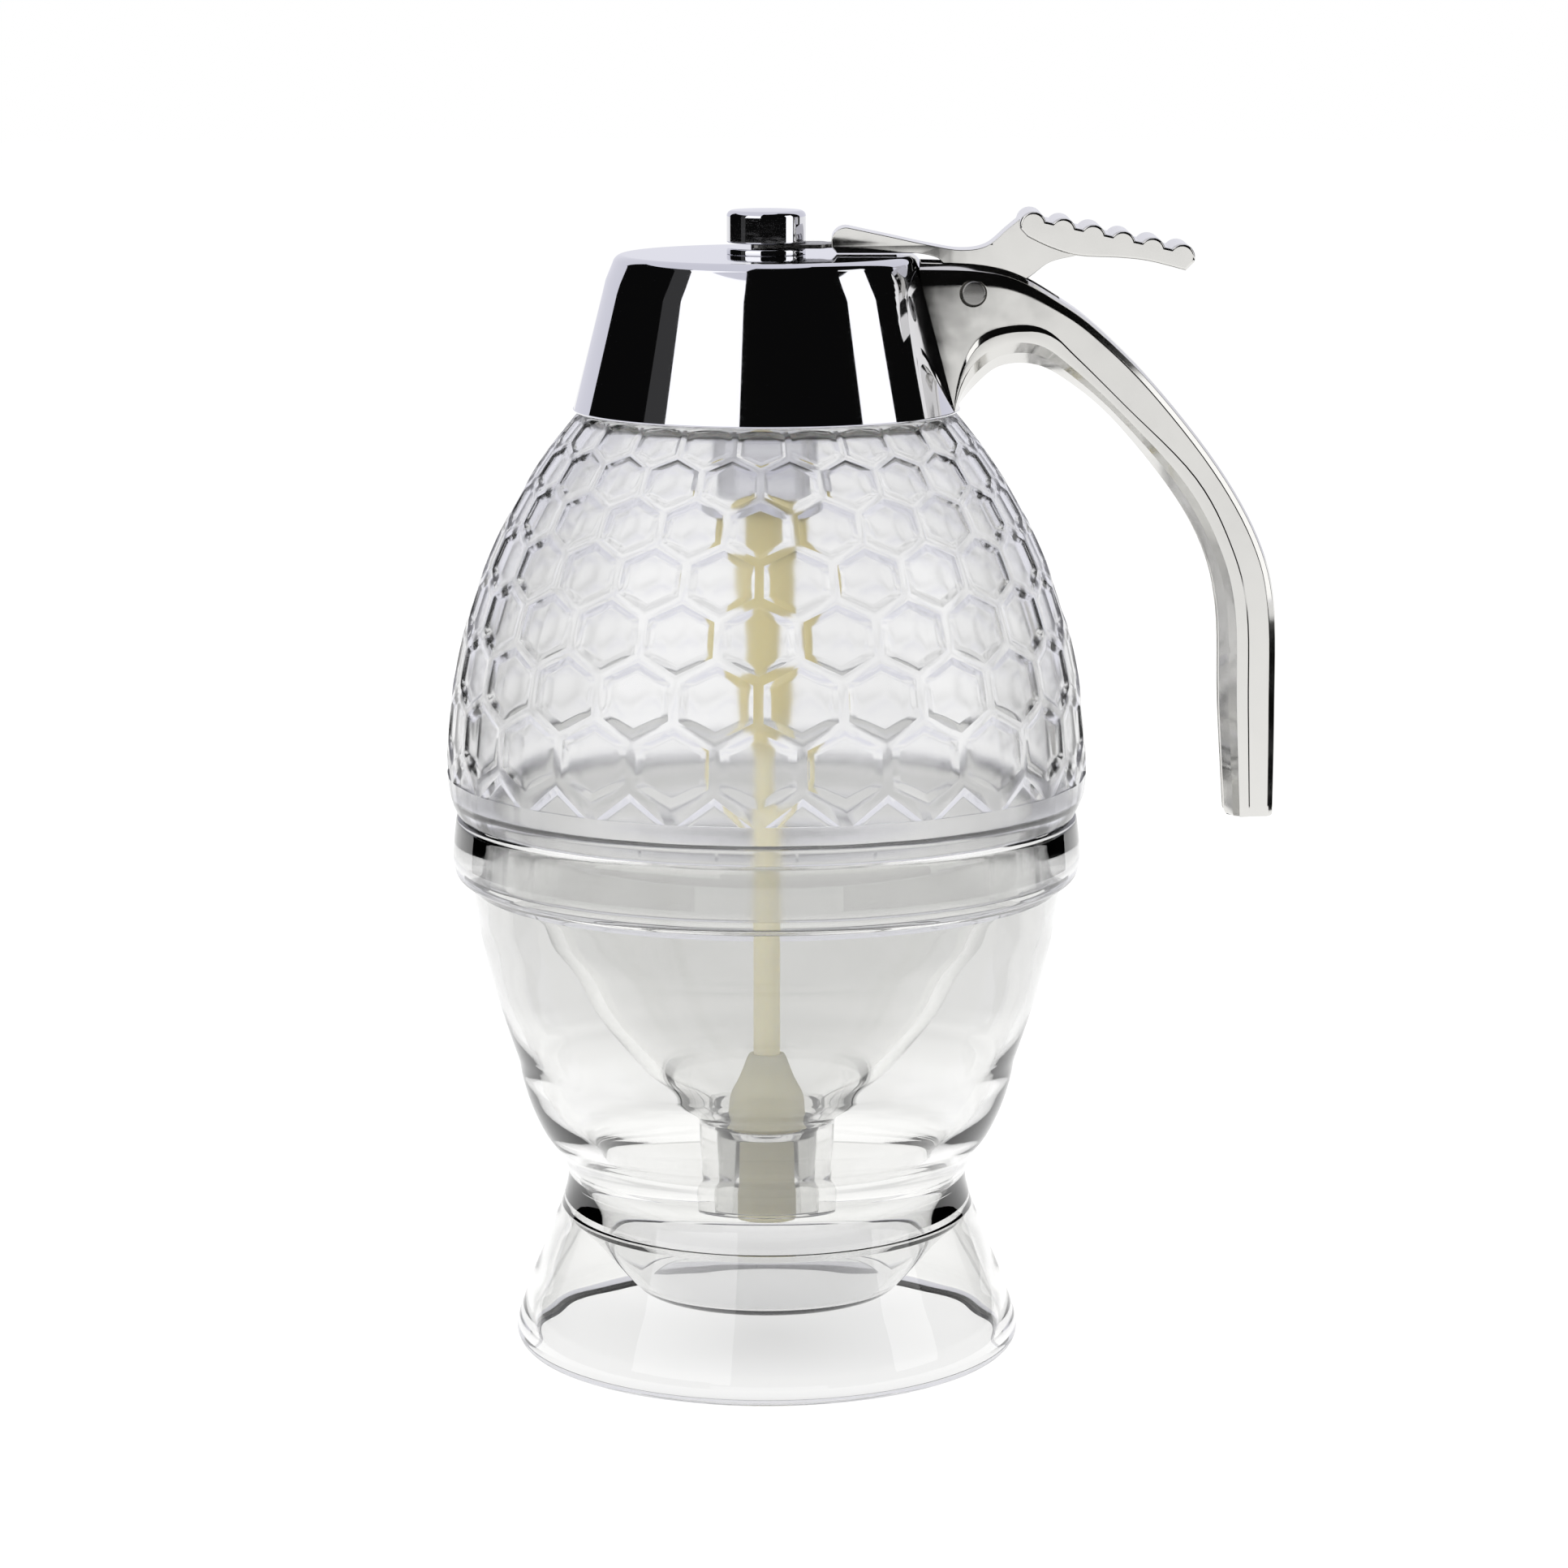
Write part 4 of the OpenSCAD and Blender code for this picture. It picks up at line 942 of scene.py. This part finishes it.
class MakeHandle(bpy.types.Operator):
    """Pistol handle on the cap, slotted for the lever, and the pivot pin"""
    bl_idname = "honey.make_handle"
    bl_label = "Handle"

    def execute(self, context):
        h = Sizes(context.scene.honey_lever)
        c = Sizes(context.scene.honey_lid)
        outer, inner = smooth(HANDLE_OUT), smooth(HANDLE_IN)
        crease = smooth([(share, 0) for share in CREASE])
        half = eased(HANDLE_SECTION)
        section = half + [(q, -w) for q, w in reversed(half)]
        last = len(outer) - 1

        def station(k):
            """The section's corners at a step along the handle."""
            w = (h.handle_w + (h.tail_w - h.handle_w) * min(1, k / last / TAPER_END)) / 2
            below = (1 - crease[k][0]) / (1 - SECTION_CREASE)
            above = min(1, crease[k][0] / SECTION_CREASE * 1.3)
            bead = 1 - FADE * min(1, max(0, (k / last - FADE_FROM) / FADE_OVER))
            out = []
            for q, side in section:
                if abs(side) > FLAT_SIDE:
                    side = math.copysign(FLAT_SIDE + (abs(side) - FLAT_SIDE) * bead, side)
                if SECTION_CREASE < q < BEAD_END:
                    q = SECTION_CREASE + (q - SECTION_CREASE) * bead
                q = 1 - (1 - q) * below if q >= SECTION_CREASE - 0.03 else q * above
                x = outer[k][0] + (inner[k][0] - outer[k][0]) * q
                z = outer[k][1] + (inner[k][1] - outer[k][1]) * q
                y = side * w
                face_x = math.sqrt(max(0.0, cap_at(c, z) ** 2 - y * y)) + 0.05
                out.append(Vector((max(x, face_x) if k else face_x, y, z)) * MM)
            return out

        bm = bmesh.new()
        ring = [bm.verts.new(p) for p in station(0)]
        edges = [bm.edges.new(pair) for pair in zip(ring, ring[1:] + ring[:1])]
        bm.faces.new(ring)
        for k in range(1, last + 1):
            made = bmesh.ops.extrude_edge_only(bm, edges=edges)["geom"]
            verts = [v for v in made if isinstance(v, bmesh.types.BMVert)]
            edges = [e for e in made if isinstance(e, bmesh.types.BMEdge)
                     and all(v in verts for v in e.verts)]
            places = station(k)
            before = station(k - 1)
            for v in verts:
                nearest = min(range(len(before)), key=lambda i: (before[i] - v.co).length_squared)
                v.co = places[nearest]
        tail = bmesh.ops.contextual_create(bm, geom=edges)["faces"]
        bmesh.ops.bevel(bm, geom=[e for f in tail for e in f.edges], offset=0.5 * MM,
                        offset_type="OFFSET", affect="EDGES", segments=3, profile=0.5, material=-1)
        slot_w = h.arm_w + 0.4
        gap = slab([(20, 172), (26.0, 157.6), (39.2, 157.6), (46.5, 163.5), (46.5, 172)],
                   slot_w / 2, 0)
        reach = h.handle_w / 2 * FLAT_SIDE
        bore_r, flare_r = h.pin_r + 0.02, h.pin_r + 0.32
        bore = sideways([(0, -OUTSIDE), (flare_r, -OUTSIDE), (flare_r, 0.22 - reach),
                         (bore_r, 0.6 - reach), (bore_r, reach - 0.6), (flare_r, reach - 0.22),
                         (flare_r, OUTSIDE), (0, OUTSIDE)], PIN_X, PIN_Z)
        bm = combined(bm, [("DIFFERENCE", gap), ("DIFFERENCE", bore)])
        piece("handle_casting", bm, "lid", material("casting"), "cast_chrome", "handle", crease=38,
              flats=True)

        reach -= 0.08
        pin = [(0, -reach), *arc((h.pin_r - 0.3, -reach + 0.3), 0.3, -90, 0, 4),
               *arc((h.pin_r - 0.3, reach - 0.3), 0.3, 0, 90, 4), (0, reach)]
        piece("pivot_pin_steel", sideways(pin, PIN_X, PIN_Z), "lid", material("steel"), "steel",
              "pivot_pin", flats=True)
        dressed("handle_screws", material("steel"))
        return {"FINISHED"}


PAD_FROM, PAD_TO, RIDGES, RIDGE_R = Vector((39.7, 173)), Vector((61.9, 168.2)), 6, 2


class MakeLever(bpy.types.Operator):
    """Thumb lever with its ridged pad, the lifting fork and the rivets"""
    bl_idname = "honey.make_lever"
    bl_label = "Thumb lever"

    def execute(self, context):
        h = Sizes(context.scene.honey_lever)
        c = Sizes(context.scene.honey_lid)
        fork_z = c.cap_top_z + BOSS_H + FORK_GAP
        low = c.cap_top_z + 0.3
        front = arc((11.9, 170.3), 2.15, 180, 80, 10)
        over = smooth([(18.9, 171), (24, 169.9), (29, 169.1), (32.9, 169.7), (36, 172.2),
                       (38.2, 174)])
        under = smooth([(50, 169.4), (46.5, 168.3), (42.5, 167.3), (39.6, 165.2), (36.4, 162.9)], 5)
        eye = arc((PIN_X, PIN_Z), 4.1, -10, -170, 16)
        heel = smooth([(26.8, 163.9), (27.2, 165), (26.2, 167.4), (24.8, 168.2), (22.6, low)], 4)
        arm = [(10.6, low), (9.75, low + 0.9), *front, *over, (40.5, 172.7), (45, 171.0),
               (50, 169.6), *under, *eye, *heel[1:]]
        along = PAD_TO - PAD_FROM
        out = Vector((-along.y, along.x)).normalized()
        start = math.degrees(math.atan2(out.y, out.x))
        pad = []
        for k in range(RIDGES):
            middle = PAD_FROM + along * k / (RIDGES - 1)
            first = 200 if k == 0 else start + 62
            last = start - (100 if k == RIDGES - 1 else 62)
            pad += arc(middle, RIDGE_R, first, last, 12)
        pad += smooth([tuple(PAD_TO + Vector((0.6, -2.0))), (57, 167.6), (52.5, 168.1),
                       (46.5, 168.4), (42.3, 169.6), (38.9, 171.2)], 4)
        bm = combined(drafted(slab(arm, h.arm_w / 2, 0.4), 174, 169.8, 26, 36), [
            ("UNION", drafted(slab(pad, h.pad_w / 2, 0.4), 175.1))])
        slot = placed(slab([(8, -2.65), (19.6, -2.65), (19.6, 2.65), (8, 2.65)], 1, 0),
                      0, fork_z + FORK_T - 1, -1)
        bore_r = h.pin_r + 0.06
        bore = sideways([(0, -OUTSIDE), (bore_r, -OUTSIDE), (bore_r, OUTSIDE), (0, OUTSIDE)],
                        PIN_X, PIN_Z)
        bm = combined(bm, [("DIFFERENCE", slot), ("DIFFERENCE", bore)])
        piece("thumb_lever_casting", bm, "lever", material("casting"), "cast_chrome",
              "thumb_lever", crease=38, flats=True)

        tip_x, end_x, gap_r, wide, tang = -2.3, 19.3, 2.45, 4.3, 2.6
        fork = eased([(tip_x, -wide, 1.2), (8.4, -wide, 1.2), (9.3, -tang, 0.6),
                      (end_x, -tang, 0.6), (end_x, tang, 0.6), (9.3, tang, 0.6),
                      (8.4, wide, 1.2), (tip_x, wide, 1.2)])
        outline = [*fork, (tip_x, gap_r), *arc((3.6, 0), gap_r, 90, -90, 16), (tip_x, -gap_r)]
        bm = placed(slab(outline, FORK_T / 2, 0.08, 2), 0, fork_z + FORK_T / 2, -1)
        piece("lift_fork_sheet", bm, "lever", material("wire"), "spring_steel", "lift_fork")

        head = [(0, -0.4), (0.9, -0.38), (1.3, -0.2), (1.4, 0), (0.88, 0), (0.88, 1.35), (0, 1.35)]
        rivets = [placed(turned(head, 32), x, fork_z) for x in (13.4, 17.2)]
        piece("fork_rivets_pair", grouped(*rivets), "lever", material("steel"), "steel",
              "fork_rivets")
        return {"FINISHED"}


# ---- Stage: floor, background, cards for the chrome to mirror, lamps and camera ----

IMAGE = 1932             # pixels on each side of the photograph
FOCAL_PX = 6000          # focal length in those pixels
CAMERA = (2.66, -733.4, 219.4)
PITCH = 10.2             # degrees down
# Outlines of the cards round the object: (distance, height) in metres. The first six stand clear
# of the table, so an upright face below the knob mirrors the table and one at the knob mirrors a
# card. NEAR stands on the table, for the upright faces lower down.
WALL = [(0.915, 0.097), (0.915, 0.85)]
HIGH_WALL = [(0.915, 0.13), (0.915, 0.85)]
SILL = [(0.915, 0.097), (0.915, 0.13)]
HOOD = [(0.915, 0.097), (0.915, 0.75), (0.65, 1.15), (0.36, 1.32)]
WINDOW, LINTEL = HOOD[:2], HOOD[1:]
NEAR = [(0.45, 0.0), (0.45, 0.085)]
LOW = [(0.95, -0.02), (0.95, 0.12)]
TALL = [(0.95, -0.02), (0.95, 0.5)]
# What the plated pieces mirror and what the clear ones gather: outline, from and to in degrees
# right of the camera, light
BLACK, GREY, WHITE, CORNER, SIDE = 0.004, 0.05, 1.45, 0.25, 0.7
MIRRORED = [
    (WALL, -130, -78, BLACK), (WALL, -78, -63, GREY), (HIGH_WALL, -63, -16, WHITE),
    (SILL, -63, -16, BLACK), (HOOD, -16, 60, BLACK), (WINDOW, 60, 84, WHITE),
    (LINTEL, 60, 84, BLACK), (HOOD, 84, 114, BLACK),
    (NEAR, -130, -24, BLACK), (NEAR, 26, 135, BLACK),
]
GATHERED = [
    (LOW, -146, -124, CORNER), (TALL, -124, -66, SIDE), (TALL, 66, 124, SIDE),
    (LOW, 124, 146, CORNER),
]
CARD_STEPS = 24
# The table as the clear pieces show it: distance from the object's middle in metres, light
TABLE_LIGHT = [(0, 0.6), (0.035, 0.8), (0.07, 0.9), (0.14, 0.72), (0.22, 0.52), (0.4, 0.54),
               (0.6, 0.74), (0.8, 0.8)]
TABLE_GLOW = 0.84        # the table's own light, where it isn't seen through a clear piece
MATT, PLAIN = (0.22, 0.22, 0.22, 1), (0.8, 0.8, 0.8, 1)  # table as it is seen, and as it lights
AIR = 0.75               # light of the room on the object
ROOM = "#E9E9F2"         # the room as the plated and clear pieces show it
# Lamps: name, place in metres, width, power
LAMPS = [("soft_left", (-0.7, -0.6, 0.7), 0.6, 5.2), ("soft_right", (0.8, -0.3, 0.6), 0.6, 3.5),
         ("soft_top", (0, 0.2, 1.0), 0.8, 5.2)]
LAMP_AIM = (0, 0, 0.09)


def card(name, outline, start, end, strength):
    """A curved card with its own even light."""
    bm = bmesh.new()
    a, b = (math.radians(-90 + x) for x in (start, end))
    line = line_of(bm, [(r * math.cos(a), r * math.sin(a), z) for r, z in outline])
    swept(bm, line, b - a, CARD_STEPS)
    made = object_of(name, bm)
    glow = bpy.data.materials.new(name)
    tree = blank_tree(glow)
    light = add(tree, "ShaderNodeEmission", Color=(1, 1, 1, 1), Strength=strength)
    add(tree, "ShaderNodeOutputMaterial", Surface=light.outputs[0])
    made.data.materials.append(glow)
    made.visible_camera = made.visible_diffuse = made.visible_shadow = False
    return made


def lamp(name, place, size, power):
    data = bpy.data.lights.new(name, "AREA")
    data.shape, data.size, data.energy = "DISK", size, power
    made = bpy.data.objects.new(name, data)
    made.location = place
    made.rotation_euler = (Vector(LAMP_AIM) - Vector(place)).to_track_quat("-Z", "Y").to_euler()
    made.visible_glossy = made.visible_camera = made.visible_transmission = False
    bpy.context.scene.collection.objects.link(made)


def ray_is(tree, *kinds):
    """1 where the ray is of one of the kinds."""
    path = add(tree, "ShaderNodeLightPath")
    total, *others = (path.outputs[f"Is {kind} Ray"] for kind in kinds)
    for other in others:
        total = add(tree, "ShaderNodeMath", {"operation": "MAXIMUM"}, in0=total,
                    in1=other).outputs[0]
    return total


class MakeStage(bpy.types.Operator):
    """Pale floor, background, cards, lamps and the camera at the photograph's angle"""
    bl_idname = "honey.make_stage"
    bl_label = "Stage"

    def execute(self, context):
        scene = context.scene
        scene.view_settings.view_transform = "Standard"
        colour = scene.honey_finish.floor

        bm = bmesh.new()
        bmesh.ops.create_circle(bm, cap_ends=True, segments=96, radius=4)
        floor = object_of("floor", bm)
        table = bpy.data.materials.new("table_white")
        tree = blank_tree(table)
        # Through the clear pieces the table shows the shade that the white background hides
        place = add(tree, "ShaderNodeTexCoord").outputs["Object"]
        away = add(tree, "ShaderNodeVectorMath", {"operation": "LENGTH"}, in0=place)
        shown = add(tree, "ShaderNodeValToRGB", Fac=away.outputs["Value"])
        stops = shown.color_ramp.elements
        while len(stops) < len(TABLE_LIGHT):
            stops.new(0.5)
        for stop, (distance, light) in zip(stops, TABLE_LIGHT):
            stop.position, stop.color = distance, (light, light, light, 1)
        level = add(tree, "ShaderNodeMix", in0=ray_is(tree, "Transmission"), in2=TABLE_GLOW,
                    in3=shown.outputs["Color"]).outputs[0]
        matt = add(tree, "ShaderNodeBsdfDiffuse", Color=MATT)
        white = add(tree, "ShaderNodeEmission", Color=(*colour, 1), Strength=level)
        lit = add(tree, "ShaderNodeAddShader", in0=matt.outputs[0], in1=white.outputs[0])
        plain = add(tree, "ShaderNodeBsdfDiffuse", Color=PLAIN)
        mix = add(tree, "ShaderNodeMixShader", in0=ray_is(tree, "Camera", "Glossy", "Transmission"),
                  in1=plain.outputs[0], in2=lit.outputs[0])
        add(tree, "ShaderNodeOutputMaterial", Surface=mix.outputs[0])
        floor.data.materials.append(table)

        scene.world = bpy.data.worlds.new("studio")
        tree = blank_tree(scene.world)
        plain, white, room = (
            add(tree, "ShaderNodeBackground", Color=(*tint, 1), Strength=strength).outputs[0]
            for tint, strength in (((1, 1, 1), AIR), (colour, 1.0), (linear(ROOM), 1.0)))
        mix = add(tree, "ShaderNodeMixShader", in0=ray_is(tree, "Glossy", "Transmission"),
                  in1=plain, in2=room)
        mix = add(tree, "ShaderNodeMixShader", in0=ray_is(tree, "Camera"), in1=mix.outputs[0],
                  in2=white)
        add(tree, "ShaderNodeOutputWorld", Surface=mix.outputs[0])

        for index, spec in enumerate(MIRRORED):
            card(f"card_mirrored_{index}", *spec).visible_transmission = False
        for index, spec in enumerate(GATHERED):
            card(f"card_gathered_{index}", *spec).visible_glossy = False
        for spec in LAMPS:
            lamp(*spec)

        data = bpy.data.cameras.new("camera")
        data.sensor_width = 36
        data.lens = FOCAL_PX / IMAGE * data.sensor_width
        data.clip_start, data.clip_end = 0.01, 50
        camera = bpy.data.objects.new("camera", data)
        scene.collection.objects.link(camera)
        camera.location = Vector(CAMERA) * MM
        camera.rotation_euler = (math.radians(90 - PITCH), 0, 0)
        scene.camera = camera
        return {"FINISHED"}


# ---- Panel and registration ----

OPERATORS = [MakeStage, MakeStand, MakeDome, MakeFunnel, MakeCap, MakeBarrel, MakePlunger,
             MakeHandle, MakeLever]


class HoneyPanel(bpy.types.Panel):
    """Buttons for the dispenser's pieces, and their sizes"""
    bl_idname = "VIEW3D_PT_honey"
    bl_label = "Honey dispenser"
    bl_space_type = "VIEW_3D"
    bl_region_type = "UI"
    bl_category = "Honey"

    def draw(self, context):
        for kind in OPERATORS:
            self.layout.operator(kind.bl_idname)
        for key in GROUPS:
            group = getattr(context.scene, key)
            box = self.layout.box()
            for name in group.bl_rna.properties.keys():
                if name not in ("rna_type", "name"):
                    box.prop(group, name)


def register():
    for kind in (*GROUPS.values(), *OPERATORS, HoneyPanel):
        bpy.utils.register_class(kind)
    for key, kind in GROUPS.items():
        setattr(bpy.types.Scene, key, PointerProperty(type=kind))


def unregister():
    for key in GROUPS:
        delattr(bpy.types.Scene, key)
    for kind in reversed((*GROUPS.values(), *OPERATORS, HoneyPanel)):
        bpy.utils.unregister_class(kind)


def main():
    register()
    for kind in OPERATORS:
        group, name = kind.bl_idname.split(".")
        if getattr(getattr(bpy.ops, group), name)() != {"FINISHED"}:
            raise RuntimeError(f"{kind.bl_idname} didn't finish")


if __name__ == "__main__":
    main()
